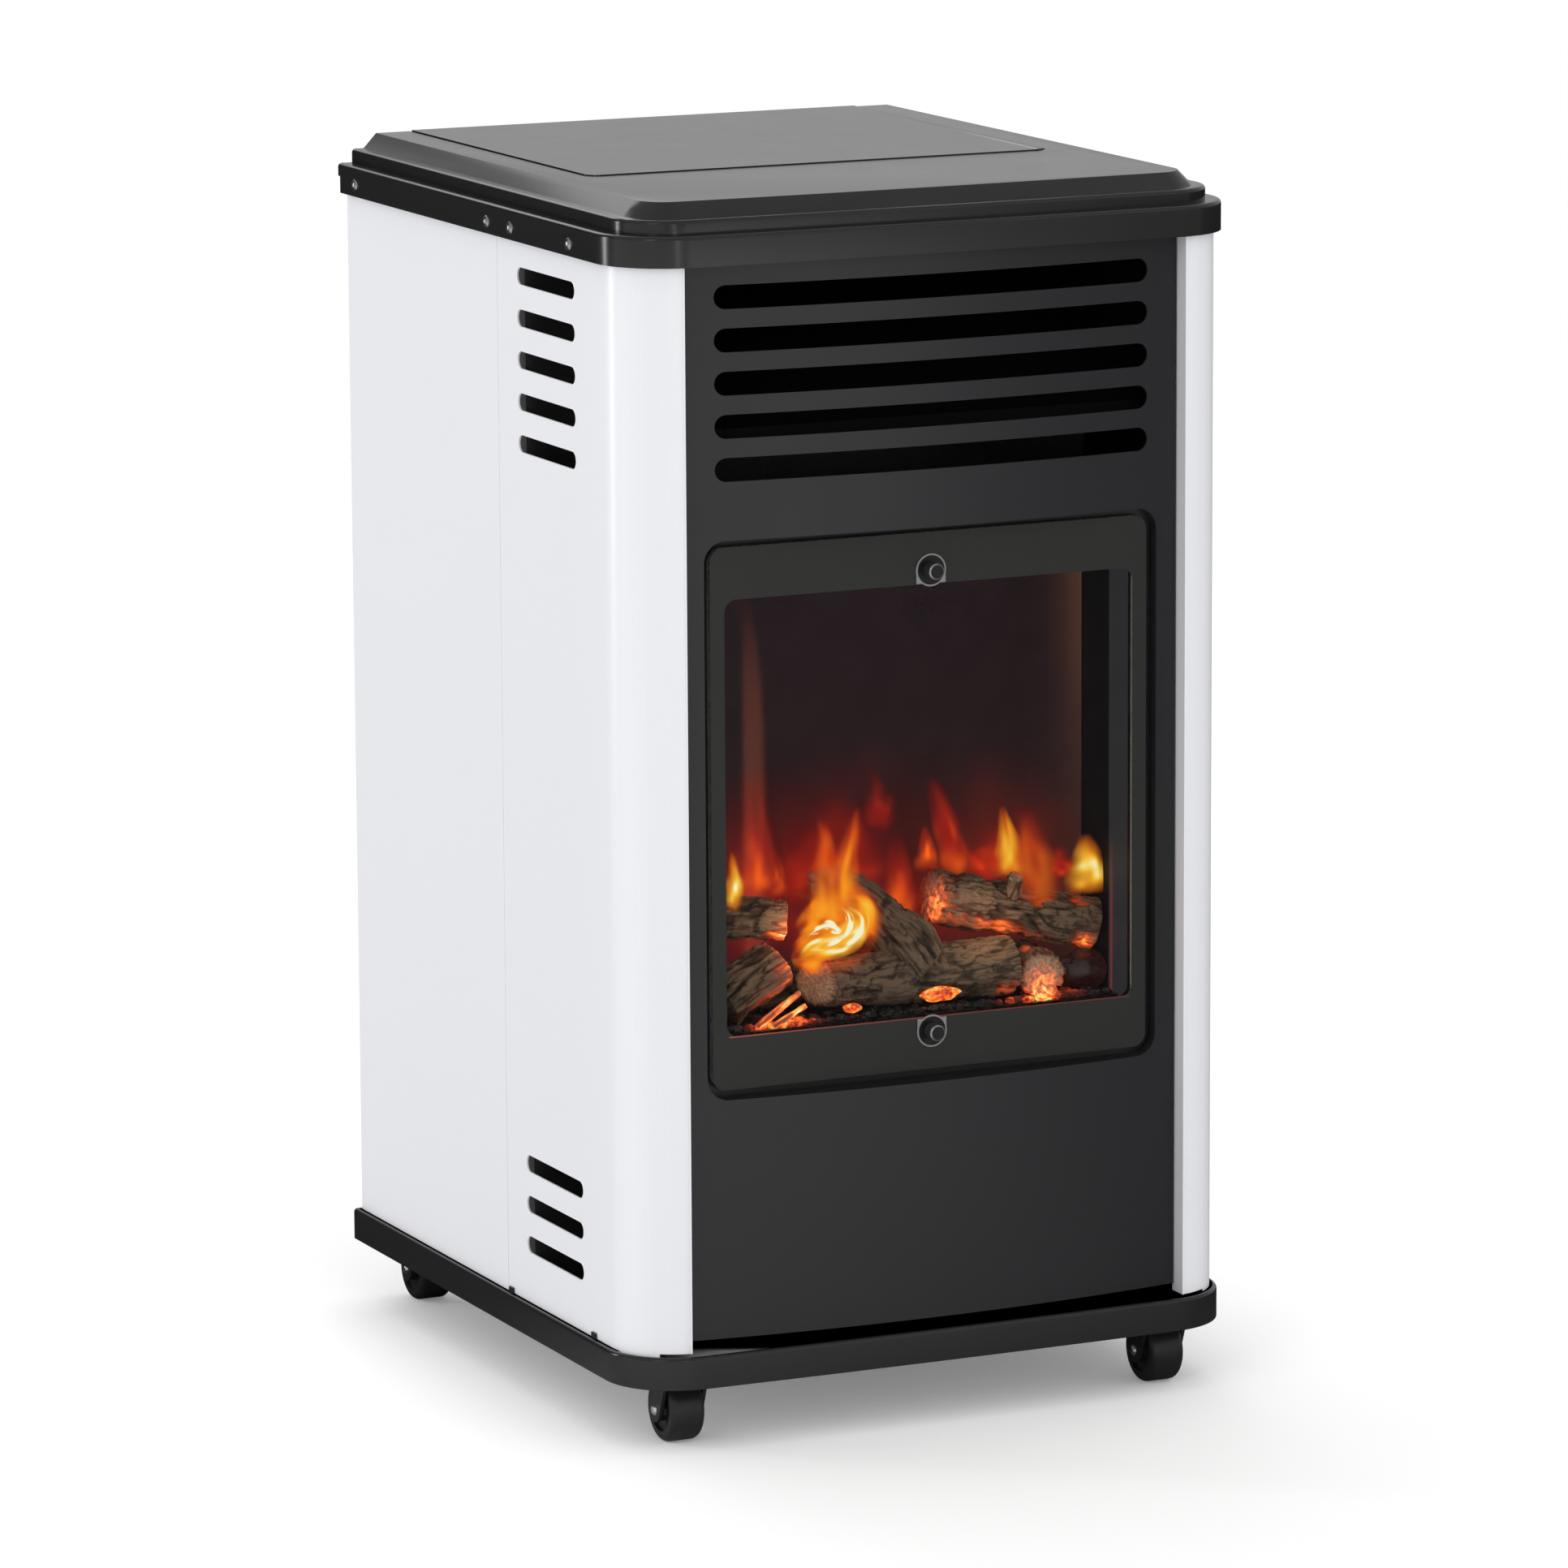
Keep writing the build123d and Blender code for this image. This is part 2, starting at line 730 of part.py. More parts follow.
def top_cover():
    cover = cover_shell()
    sill_z = flap_hinge_z - flap_hinge_drop
    cover -= flap_opening(flap_gap, (sill_z, height + 5))
    lip_z = ledge_z - cover_rear_lip_height
    lip_y = (rear_y - cover_rear_lip, rear_y + 5)
    for side in (-1, 1):
        end_x = sorted((side * (half_width - cover_wall), side * (half_width + 5)))
        cover -= block(end_x, lip_y, (cover_bottom - 5, lip_z))
    for lug in flap_lugs():
        cover += lug
    for side in (-1, 1):
        for y in screw_places():
            cover -= screw_hole(y, side)
    return cover


def cover_screws():
    """Domed screws along both sides of the cover's skirt."""
    screws = []
    dome_radius = (screw_head_radius ** 2 + screw_head_height ** 2) / (2 * screw_head_height)
    for side in (-1, 1):
        face_x = side * half_width
        for y in screw_places():
            ball_x = face_x + side * (screw_head_height - dome_radius)
            dome = Pos(ball_x, y, screw_z) * Sphere(dome_radius)
            keep = sorted((face_x, face_x + side * 5))
            dome &= block(keep, (y - 10, y + 10), (screw_z - 10, screw_z + 10))
            start = (face_x + side * 0.2, y, screw_z)
            screws.append(dome + bar(start, (side * (skin_x - 3), y, screw_z), screw_shank_radius))
    return Compound(children=screws)


def control_flap():
    """The flat flap with its two hinge knuckles underneath."""
    plate = flap_opening(0, (flap_bottom, height + flap_rise))
    plate &= block((-width, width), (front_y, rear_y - 0.5), (flap_bottom, height + flap_rise))
    for x in (-flap_hinge_x, flap_hinge_x):
        half = flap_knuckle_length / 2
        start = (x - half, flap_hinge_y, flap_hinge_z)
        end = (x + half, flap_hinge_y, flap_hinge_z)
        plate += bar(start, end, flap_knuckle_radius)
        web_y = (flap_hinge_y - flap_knuckle_radius, flap_hinge_y + flap_knuckle_radius)
        plate += block((x - half, x + half), web_y, (flap_hinge_z, flap_bottom))
        bore_start = (x - half - 1, flap_hinge_y, flap_hinge_z)
        bore_end = (x + half + 1, flap_hinge_y, flap_hinge_z)
        plate -= bar(bore_start, bore_end, flap_pin_radius + running_gap)
    return plate


def control_tray():
    """The sunk tray under the flap; its flange hangs under the cover's opening."""
    length = tray_rear_y - tray_front_y
    centre_y = (tray_rear_y + tray_front_y) / 2
    inner = RectangleRounded(tray_width, length, tray_corner_radius)
    wall = RectangleRounded(tray_width + 2 * sheet, length + 2 * sheet, tray_corner_radius + sheet)
    flange = Rectangle(tray_width + 2 * tray_flange, length + tray_flange)
    tray = extrude(Pos(0, centre_y, tray_under) * wall, under_top - tray_under)
    tray += extrude(Pos(0, centre_y - tray_flange / 2, under_top - sheet) * flange, sheet)
    tray -= extrude(Pos(0, centre_y, tray_floor_top) * inner, tray_depth + 1)
    through = (tray_under - 1, tray_floor_top + 1)
    tray -= upright(knob_x, knob_y, through, collar_radius + 1)
    tray -= upright(button_x, button_y, through, button_radius + fit_gap)
    return tray


# ---------------------------------------------------------------- gas controls


def valve_body():
    """The control valve that hangs under the tray, with its bonnet and outlet boss."""
    x = (knob_x - valve_length / 2, knob_x + valve_length / 2)
    y = (knob_y - valve_width / 2, knob_y + valve_width / 2)
    body = block(x, y, (valve_bottom, tray_under))
    body = chamfer(body.edges().filter_by(Axis.Z), 5)
    bonnet_x = x[0] - 12
    body += bar((x[0], knob_y, nozzle_z), (bonnet_x, knob_y, nozzle_z), 12)
    body += upright(knob_x, knob_y, (valve_bottom - 8, valve_bottom), 8)
    bore_floor = tray_under - collar_length - knob_travel - 6
    body -= upright(knob_x, knob_y, (bore_floor, tray_under + 1), collar_radius + running_gap)
    return body


def valve_collar():
    """The sprung sleeve that lets the knob be pressed in."""
    top = tray_under - 2
    ring = upright(knob_x, knob_y, (top - collar_length, top), collar_radius)
    return ring - upright(knob_x, knob_y, (top - 20, top + 5), spindle_radius + running_gap)


def valve_spindle():
    low = tray_under - 2 - collar_length
    high = tray_floor_top + knob_travel + 12
    return upright(knob_x, knob_y, (low, high), spindle_radius)


def control_knob():
    """A round knob with a skirt and a raised grip bar across it."""
    foot = tray_floor_top + knob_travel + 1
    knob = upright(knob_x, knob_y, (foot, foot + 3.5), knob_radius)
    knob = chamfer(knob.edges().group_by(Axis.Z)[-1], 1)
    grip = upright(knob_x, knob_y, (foot + 3, foot + knob_height - 6), knob_grip_radius)
    knob += grip
    wing_x = (knob_x - 5, knob_x + 5)
    wing_y = (knob_y - knob_grip_radius + 1.5, knob_y + knob_grip_radius - 1.5)
    wing = block(wing_x, wing_y, (foot + 3, foot + knob_height))
    knob += fillet(wing.edges().group_by(Axis.Z)[-1], 1.5)
    return knob - upright(knob_x, knob_y, (foot - 1, tray_floor_top + knob_travel + 12), spindle_radius)


def igniter_bezel():
    ring = upright(button_x, button_y, (tray_floor_top, tray_floor_top + bezel_height), bezel_radius)
    ring = chamfer(ring.edges().group_by(Axis.Z)[-1], 1)
    bore = (tray_floor_top - 1, tray_floor_top + bezel_height + 1)
    return ring - upright(button_x, button_y, bore, button_radius + fit_gap)


def igniter_button():
    top = tray_floor_top + button_height + 1
    button = upright(button_x, button_y, (tray_under - 6, top), button_radius)
    return fillet(button.edges().group_by(Axis.Z)[-1], 1.5)


def piezo_igniter():
    """The spark generator under the tray, open at the top for the button's shank."""
    outer = button_radius + 3
    body = upright(button_x, button_y, (tray_under - piezo_length, tray_under), outer)
    bore_floor = tray_under - 6 - button_travel - 3
    body -= upright(button_x, button_y, (bore_floor, tray_under + 1), button_radius + running_gap)
    return body + upright(button_x, button_y, (tray_under - piezo_length - 7, tray_under - piezo_length), 4)


def hose_nozzle():
    """The brass inlet: a hexagon collar and a smooth nipple for the hose."""
    start_y = knob_y + valve_width / 2
    plane = Plane(origin=(knob_x, start_y, nozzle_z), z_dir=(0, 1, 0))
    collar = extrude(RegularPolygon(nozzle_hex, 6), 8)
    nipple = Cylinder(nozzle_radius, 8 + nozzle_length, align=MIN_Z)
    nipple = chamfer(nipple.edges().group_by(Axis.Z)[-1], 0.8)
    bore = Cylinder(nozzle_radius * 0.55, 8 + nozzle_length + 1, align=MIN_Z)
    return plane * (collar + nipple - bore)


# ---------------------------------------------------------------- fire


def firebox_outline(grow, reach=0.0):
    """The firebox in plan: straight sides, two bevelled corners and the back."""
    half = firebox_half + grow
    back = firebox_back_y + grow
    cut = firebox_bevel + grow * (2 - math.sqrt(2))
    front = seat_back_y - reach
    points = [
        (-half, front),
        (half, front),
        (half, back - cut),
        (half - cut, back),
        (cut - half, back),
        (-half, back - cut),
    ]
    return make_face(Polyline(*points, close=True))


def firebox():
    """The steel fire chamber: floor, sides, back and a top with the flue opening."""
    levels = (firebox_floor_z, firebox_top_z)
    shell = extrude(Pos(0, 0, levels[0]) * firebox_outline(firebox_sheet), levels[1] - levels[0])
    cavity_z = levels[0] + firebox_sheet
    cavity_height = levels[1] - levels[0] - 2 * firebox_sheet
    shell -= extrude(Pos(0, 0, cavity_z) * firebox_outline(0, 5), cavity_height)
    flange_width = 2 * (firebox_half + firebox_flange)
    flange_z = (levels[0] - 4, levels[1] + 4)
    flange_y = (seat_back_y, seat_back_y + firebox_sheet)
    flange = upright_plate(flange_width, flange_z, 4, flange_y)
    mouth_z = (cavity_z, cavity_z + cavity_height)
    shell += flange - upright_plate(2 * firebox_half, mouth_z, 2, (front_y, seat_back_y + 5))
    flue_y = (firebox_back_y - 8 - flue_depth, firebox_back_y - 8)
    shell -= block((-flue_width / 2, flue_width / 2), flue_y, (levels[1] - 5, levels[1] + 5))
    hole_x = burner_length / 2 - 6
    hole_y = (burner_y - burner_width / 2 + 5, burner_y + burner_width / 2 - 5)
    shell -= block((-hole_x, hole_x), hole_y, (levels[0] - 1, levels[0] + firebox_sheet + 1))
    for x, radius in pilot_feet():
        shell -= upright(x, pilot_y, (levels[0] - 1, levels[0] + 5), radius + 0.2)
    return shell


def pilot_feet():
    """The three rods of the pilot group that pass through the firebox floor."""
    return [
        (pilot_x - pilot_spacing, thermocouple_radius),
        (pilot_x, pilot_radius),
        (pilot_x + pilot_spacing, electrode_radius),
    ]


def pilot_bracket():
    """A small plate on the firebox floor that holds the pilot group."""
    half = pilot_spacing + 6
    plate_z = (bed_floor_z, bed_floor_z + 2)
    plate = block((pilot_x - half, pilot_x + half), (pilot_y - 5, pilot_y + 5), plate_z)
    for x, radius in pilot_feet():
        plate -= upright(x, pilot_y, (bed_floor_z - 1, bed_floor_z + 3), radius)
    return plate


def pilot_burner():
    rod = upright(pilot_x, pilot_y, (firebox_floor_z - 10, bed_floor_z + 24), pilot_radius)
    return rod + upright(pilot_x, pilot_y, (bed_floor_z + 24, bed_floor_z + 32), pilot_radius + 1)


def thermocouple():
    x = pilot_x - pilot_spacing
    rod = upright(x, pilot_y, (firebox_floor_z - 10, bed_floor_z + 38), thermocouple_radius)
    return fillet(rod.edges().group_by(Axis.Z)[-1], 1)


def spark_electrode():
    x = pilot_x + pilot_spacing
    rod = upright(x, pilot_y, (firebox_floor_z - 10, bed_floor_z + 22), electrode_radius)
    return rod + upright(x, pilot_y, (bed_floor_z + 22, bed_floor_z + 33), 0.8)


def burner():
    """A shallow box burner under the firebox floor, with rows of ports on top."""
    x = (-burner_length / 2, burner_length / 2)
    y = (burner_y - burner_width / 2, burner_y + burner_width / 2)
    box = block(x, y, (burner_bottom, firebox_floor_z))
    inner_x = (x[0] + sheet, x[1] - sheet)
    inner_y = (y[0] + sheet, y[1] - sheet)
    box -= block(inner_x, inner_y, (burner_bottom + sheet, firebox_floor_z - sheet))
    pitch_x = (burner_length - 30) / (burner_port_columns - 1)
    pitch_y = (burner_width - 24) / (burner_port_rows - 1)
    port = Cylinder(burner_port_radius, sheet * 3)
    for place in GridLocations(pitch_x, pitch_y, burner_port_columns, burner_port_rows):
        box -= Pos(0, burner_y, firebox_floor_z) * place * port
    box -= upright(knob_x, burner_y, (burner_bottom - 1, burner_bottom + 2), injector_radius * 0.5)
    return box


def gas_injector():
    """The brass injector under the burner."""
    body = upright(knob_x, burner_y, (injector_z, burner_bottom), injector_radius)
    return body - upright(knob_x, burner_y, (injector_z - 1, burner_bottom + 1), 0.8)


def ember_bed():
    """The ceramic bed that the logs lie on, slotted over the burner."""
    bed = block((-bed_length / 2, bed_length / 2), (bed_front_y, bed_rear_y), (bed_floor_z, bed_top))
    bed = chamfer(bed.edges().filter_by(Axis.Z).group_by(Axis.Y)[-1], 14)
    for y in (burner_y - 10, burner_y + 12):
        slot = SlotOverall(bed_slot_length, bed_slot_width)
        bed -= extrude(Pos(0, y, bed_floor_z - 1) * slot, bed_height + 2)
    return bed


def coal_pieces():
    """Loose coals along the front edge of the bed, each turned a little."""
    coals = []
    pitch = (bed_length - 24) / (coal_count - 1)
    for i in range(coal_count):
        x = -bed_length / 2 + 12 + i * pitch
        size = coal_size * (0.8 + 0.25 * math.sin(2.4 * i + 0.7))
        y = bed_front_y + 0.6 + size * 0.6
        turn = Rotation(0, 0, 25 * math.sin(1.7 * i))
        lump = Box(size, size * 0.9, size * 0.7, align=MIN_Z)
        lump = chamfer(lump.edges().group_by(Axis.Z)[-1], size * 0.2)
        coals.append(Pos(x, y, bed_top) * turn * lump)
    return Compound(children=coals)


def log(start, end, radius, end_radius):
    """One tapered log over the bed, from shares of the bed's length and of the log radius.

    Each end gives steps along the bed from its middle, then how far it stands behind the
    bed's front edge and above the bed, in log radii.
    """
    step = bed_length / log_steps
    ends = []
    for x, y, z in (start, end):
        ends.append((x * step, bed_front_y + y * log_radius, bed_top + z * log_radius))
    return bar(ends[0], ends[1], radius * log_radius, end_radius * log_radius)


def log_forked():
    """The front log: a trunk across the window with one branch leaning back."""
    trunk = log((-3.55, 0.775, 1.1), (3.3, 1.05, 1.015), 0.75, 1.0)
    return trunk + log((-0.2, 1.225, 1.8), (-2.55, 2.725, 4.05), 0.9, 0.67)


def logs_right():
    """The long log at the back right and the short one that it lies on."""
    long_log = log((1.15, 2.275, 3.17), (6.45, 1.425, 1.945), 0.875, 0.825)
    short_log = log((4.2, 0.375, 0.775), (4.4, 2.225, 0.775), 0.76, 0.76)
    return Compound(children=[long_log, short_log])


def logs_left():
    """The lower log at the left and the one that lies across it."""
    low_log = log((-6.2, 1.075, 0.76), (-4.35, 1.125, 1.8), 0.85, 0.8)
    high_log = log((-6.4, 2.275, 3.18), (-3.95, 1.475, 3.005), 0.7, 0.675)
    return Compound(children=[low_log, high_log])


def log_back():
    return log((-5.4, 2.725, 0.765), (0.7, 2.825, 0.765), 0.75, 0.75)


def flue_deflector():
    """The bent plate behind the slots that turns the warm air forward, with a cheek at each end."""
    half = deflector_width / 2
    front = panel_edge_y + deflector_front_gap
    lip_top = deflector_lip_z + deflector_lip_height
    rear = divider_y
    profile = Polyline(
        (front, deflector_lip_z),
        (front, lip_top),
        (front + sheet, lip_top),
        (front + sheet, deflector_lip_z + sheet),
        (rear, deflector_lip_z + deflector_slope_height + sheet),
        (rear, deflector_lip_z + deflector_slope_height),
        close=True,
    )
    plate = extrude(Plane.YZ * make_face(profile), half, both=True)
    cheek_top = under_top - deflector_cheek_drop
    outline = Polyline(
        (front, deflector_lip_z),
        (front, cheek_top - deflector_cheek_slant),
        (front + deflector_cheek_slant, cheek_top),
        (rear, cheek_top),
        (rear, deflector_lip_z + deflector_slope_height),
        close=True,
    )
    cheek = Plane.YZ * make_face(outline)
    for start in (-half, half - sheet):
        plate += Pos(start, 0, 0) * extrude(cheek, sheet)
    return plate


def divider():
    """The heat shield between the fire and the bottle, flanged at both sides.

    Above the panels it goes on up to the tray, so that no warm air passes over it.
    """
    inner_x = skin_x - sheet
    plate = block((-inner_x, inner_x), (divider_y, divider_y + sheet), (floor_top, panel_top))
    shield_half = half_width - cover_ledge - cover_second_ledge - cover_bevel_run - cover_wall - fit_gap
    shield_z = (panel_top, under_top - sheet - fit_gap)
    plate += block((-shield_half, shield_half), (divider_y, divider_y + sheet), shield_z)
    for side in (-1, 1):
        fold = sorted((side * inner_x, side * (inner_x - sheet)))
        plate += block(fold, (divider_y, divider_y + divider_flange), (floor_top, panel_top))
        for y in screw_places()[1:3]:
            plate -= screw_hole(y, side)
    pass_z = pipe_low_z
    plate -= bar((knob_x, divider_y - 2, pass_z), (knob_x, divider_y + 4, pass_z), pipe_radius + 1)
    for x in (thermocouple_lead_x, spark_lead_x):
        plate -= bar((x, divider_y - 2, lead_low_z), (x, divider_y + 4, lead_low_z), 4)
    return plate


# ---------------------------------------------------------------- pipes and leads


def tube(points, radii, radius):
    """A round tube along straight runs joined by arcs."""
    path = FilletPolyline(*points, radius=radii)
    section = Plane(origin=path @ 0, z_dir=path % 0) * Circle(radius)
    return sweep(section, path=path)


def gas_pipe():
    """The pipe from the valve's outlet, down the divider and up to the injector."""
    wall_y = divider_y + sheet + pipe_wall_gap
    points = [
        (knob_x, knob_y, valve_bottom - 8),
        (knob_x, knob_y, valve_bottom - 60),
        (knob_x, wall_y, valve_bottom - 100),
        (knob_x, wall_y, pipe_low_z),
        (knob_x, burner_y, pipe_low_z),
        (knob_x, burner_y, injector_z),
    ]
    return tube(points, [30, 30, pipe_wall_gap, 16], pipe_radius)


def lead(x, start_x, start_y, start_z, radius):
    """A thin lead down the divider to the foot of a rod in the pilot group."""
    wall_y = divider_y + sheet + pipe_wall_gap
    points = [
        (start_x, start_y, start_z),
        (start_x, start_y, start_z - 40),
        (x, wall_y, start_z - 100),
        (x, wall_y, lead_low_z),
        (x, pilot_y, lead_low_z),
        (x, pilot_y, firebox_floor_z - 10),
    ]
    return tube(points, [20, 20, 10, 8], radius)


def thermocouple_lead():
    start_x = knob_x - valve_length / 2 - 6
    start_z = nozzle_z - 12
    return lead(thermocouple_lead_x, start_x, knob_y, start_z, thermocouple_lead_radius)


def spark_lead():
    start_z = tray_under - piezo_length - 7
    return lead(spark_lead_x, button_x, button_y, start_z, spark_lead_radius)


# ---------------------------------------------------------------- rear door


def door_hinge_heights():
    """The middle of each of the two door knuckles."""
    return (floor_top + door_hinge_height, cover_bottom - door_hinge_height)


def rear_door():
    """The flat door with vents, a finger hole, a notch in line with the hose inlet and two knuckles."""
    left = door_hinge_x - door_knuckle_radius - 0.8
    right = skin_x - rear_return - door_clearance
    levels = (base_top + door_clearance, cover_bottom - door_clearance)
    leaf = block((left, right), (door_inner_y, door_outer_y), levels)
    for low_z in (levels[0] + 40, levels[1] - 40 - (door_vents - 1) * door_vent_pitch):
        for i in range(door_vents):
            for x in (-door_vent_length * 0.65, door_vent_length * 0.65):
                place = Pos(x, low_z + i * door_vent_pitch)
                sketch = Plane.XZ * place * SlotOverall(door_vent_length, door_vent_height)
                leaf -= extrude(Pos(0, door_outer_y + 5, 0) * sketch, 20)
    hole_z = (levels[0] + levels[1]) / 2
    hole_x = right - 30
    leaf -= bar((hole_x, door_inner_y - 5, hole_z), (hole_x, door_outer_y + 5, hole_z), door_finger_hole_radius)
    notch_y = (door_inner_y - 1, door_outer_y + 1)
    leaf -= bar((knob_x, notch_y[0], nozzle_z), (knob_x, notch_y[1], nozzle_z), hose_notch_radius)
    notch_x = (knob_x - hose_notch_radius, knob_x + hose_notch_radius)
    leaf -= block(notch_x, notch_y, (nozzle_z, levels[1] + 1))
    for z in door_hinge_heights():
        half = door_knuckle_length / 2
        cut_x = (left - 1, door_hinge_x + door_knuckle_radius + 0.7)
        for low in (z - half - 13, z + half):
            leaf -= block(cut_x, (door_inner_y - 1, door_outer_y + 1), (low, low + 13))
        leaf += upright(door_hinge_x, door_hinge_y, (z - half, z + half), door_knuckle_radius)
        bore = (z - half - 1, z + half + 1)
        leaf -= upright(door_hinge_x, door_hinge_y, bore, door_pin_radius + running_gap)
    return leaf


def door_hinge_frames():
    """The fixed halves of the hinges: a knuckle above and below, on one plate."""
    frames = []
    inner_face = rear_edge_y - sheet
    return_edge = -(skin_x - rear_return)
    for z in door_hinge_heights():
        half = door_knuckle_length / 2
        reach = half + 0.4 + 12
        plate_x = (-(skin_x - sheet), return_edge)
        frame = block(plate_x, (inner_face - sheet, inner_face), (z - reach, z + reach))
        for low in (z - reach, z + half + 0.4):
            span = (low, low + 12)
            web_x = (return_edge - 1, door_hinge_x - 1)
            frame += block(web_x, (door_hinge_y - 0.6, inner_face), span)
            frame += upright(door_hinge_x, door_hinge_y, span, door_knuckle_radius)
            frame -= upright(door_hinge_x, door_hinge_y, (low - 1, low + 13), door_pin_radius)
        frames.append(frame)
    return Compound(children=frames)


def hinge_pins():
    """The pins of the door's two hinges and the flap's two hinges."""
    pins = []
    for z in door_hinge_heights():
        half = door_knuckle_length / 2 + 0.4 + 12
        pins.append(upright(door_hinge_x, door_hinge_y, (z - half, z + half), door_pin_radius))
    half = flap_knuckle_length / 2 + flap_lug_width + 1
    for x in (-flap_hinge_x, flap_hinge_x):
        start = (x - half, flap_hinge_y, flap_hinge_z)
        pins.append(bar(start, (x + half, flap_hinge_y, flap_hinge_z), flap_pin_radius))
    return Compound(children=pins)


def door_magnets():
    """Two magnet catches inside the free edge of the door."""
    catches = []
    inner_face = rear_edge_y - sheet
    edge = skin_x - rear_return
    for z in door_hinge_heights():
        foot_x = (edge, skin_x - sheet)
        catch = block(foot_x, (inner_face - 4, inner_face), (z - 15, z + 15))
        catch += block((edge - 14, edge + 1), (inner_face - 6, inner_face), (z - 15, z + 15))
        catch += block((edge - 14, edge - 1), (inner_face - 6, door_inner_y - fit_gap), (z - 15, z + 15))
        catches.append(catch)
    return Compound(children=catches)


def bottle_stop():
    """A low half ring on the floor that centres the gas bottle."""
    ring = Cylinder(bottle_radius + 2 + sheet, bottle_stop_height, align=MIN_Z)
    ring -= Cylinder(bottle_radius + 2, bottle_stop_height, align=MIN_Z)
    ring = Pos(0, bottle_centre_y, floor_top) * ring
    reach = bottle_radius + 10
    return ring & block((-reach, reach), (bottle_centre_y - reach, bottle_centre_y), (0, height))


# ---------------------------------------------------------------- write every sub-part

PIECES = {
    "base_skirt": base_skirt,
    "floor_pan": floor_pan,
    "castor_plates": castor_plates,
    "base_clips": base_clips,
    "front_panel": front_panel,
    "window_glass": window_glass,
    "glass_gasket": glass_gasket,
    "glass_washers": glass_washers,
    "glass_studs": glass_studs,
    "top_cover": top_cover,
    "cover_screws": cover_screws,
    "control_flap": control_flap,
    "control_tray": control_tray,
    "valve_body": valve_body,
    "valve_collar": valve_collar,
    "valve_spindle": valve_spindle,
    "control_knob": control_knob,
    "igniter_bezel": igniter_bezel,
    "igniter_button": igniter_button,
    "piezo_igniter": piezo_igniter,
    "hose_nozzle": hose_nozzle,
    "firebox": firebox,
    "pilot_bracket": pilot_bracket,
    "pilot_burner": pilot_burner,
    "thermocouple": thermocouple,
    "spark_electrode": spark_electrode,
    "burner": burner,
    "gas_injector": gas_injector,
    "ember_bed": ember_bed,
    "coal_pieces": coal_pieces,
    "log_forked": log_forked,
    "logs_right": logs_right,
    "logs_left": logs_left,
    "log_back": log_back,
    "flue_deflector": flue_deflector,
    "divider": divider,
    "gas_pipe": gas_pipe,
    "thermocouple_lead": thermocouple_lead,
    "spark_lead": spark_lead,
    "rear_door": rear_door,
    "door_hinge_frames": door_hinge_frames,
    "hinge_pins": hinge_pins,
    "door_magnets": door_magnets,
    "bottle_stop": bottle_stop,
}


def write_parts():
    for node, make in PIECES.items():
        save(node, make())
    for name, side in (("left", -1), ("right", 1)):
        save(f"front_pillar_{name}", front_pillar(side))
        save(f"rear_panel_{name}", rear_panel(side))
    corners = ("front_left", "front_right", "rear_left", "rear_right")
    for corner, (x, y) in zip(corners, castor_places()):
        save(f"castor_fork_{corner}", castor_fork(x, y))
        save(f"castor_axle_{corner}", castor_axle(x, y))
        save(f"castor_wheel_{corner}", castor_wheel(x, y))


write_parts()
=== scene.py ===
"""Looks for a portable gas cabinet heater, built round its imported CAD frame.

Sizes are in metres. +Z is up, the window faces -Y, and the origin is on the floor under
the middle of the cabinet.
"""

import json
import math

import bmesh
import bpy
import numpy as np
from mathutils import Matrix, Vector


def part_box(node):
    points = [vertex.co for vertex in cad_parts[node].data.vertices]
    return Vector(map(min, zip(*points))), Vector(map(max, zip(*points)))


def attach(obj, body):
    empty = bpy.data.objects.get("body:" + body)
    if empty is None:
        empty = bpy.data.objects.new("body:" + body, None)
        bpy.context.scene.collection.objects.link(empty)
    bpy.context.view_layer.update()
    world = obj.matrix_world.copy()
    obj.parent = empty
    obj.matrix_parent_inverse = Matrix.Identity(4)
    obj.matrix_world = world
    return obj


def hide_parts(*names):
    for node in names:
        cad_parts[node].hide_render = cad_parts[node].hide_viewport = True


bl_info = {
    "name": "Gas cabinet heater",
    "version": (1, 0, 0),
    "blender": (4, 5, 0),
    "location": "View3D > Sidebar > Heater",
    "description": "Dresses a cabinet heater with a log-effect fire: enamelled panels, window, logs, flames",
    "category": "Object",
}

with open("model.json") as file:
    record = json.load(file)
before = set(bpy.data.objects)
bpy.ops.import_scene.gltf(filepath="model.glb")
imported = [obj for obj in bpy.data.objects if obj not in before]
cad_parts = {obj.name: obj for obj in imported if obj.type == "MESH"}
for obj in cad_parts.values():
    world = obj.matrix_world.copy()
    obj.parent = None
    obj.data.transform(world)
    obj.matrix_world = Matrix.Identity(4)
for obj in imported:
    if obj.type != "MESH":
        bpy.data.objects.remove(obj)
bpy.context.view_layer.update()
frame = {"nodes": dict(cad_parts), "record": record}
NODES = frame["nodes"]
BODY_OF = {n: b for b, ns in frame["record"]["behaviour"]["bodies"].items() for n in ns}
MM = 0.001
CORNERS = ("front_left", "front_right", "rear_left", "rear_right")


# ------------------------------------------------------------------ user settings


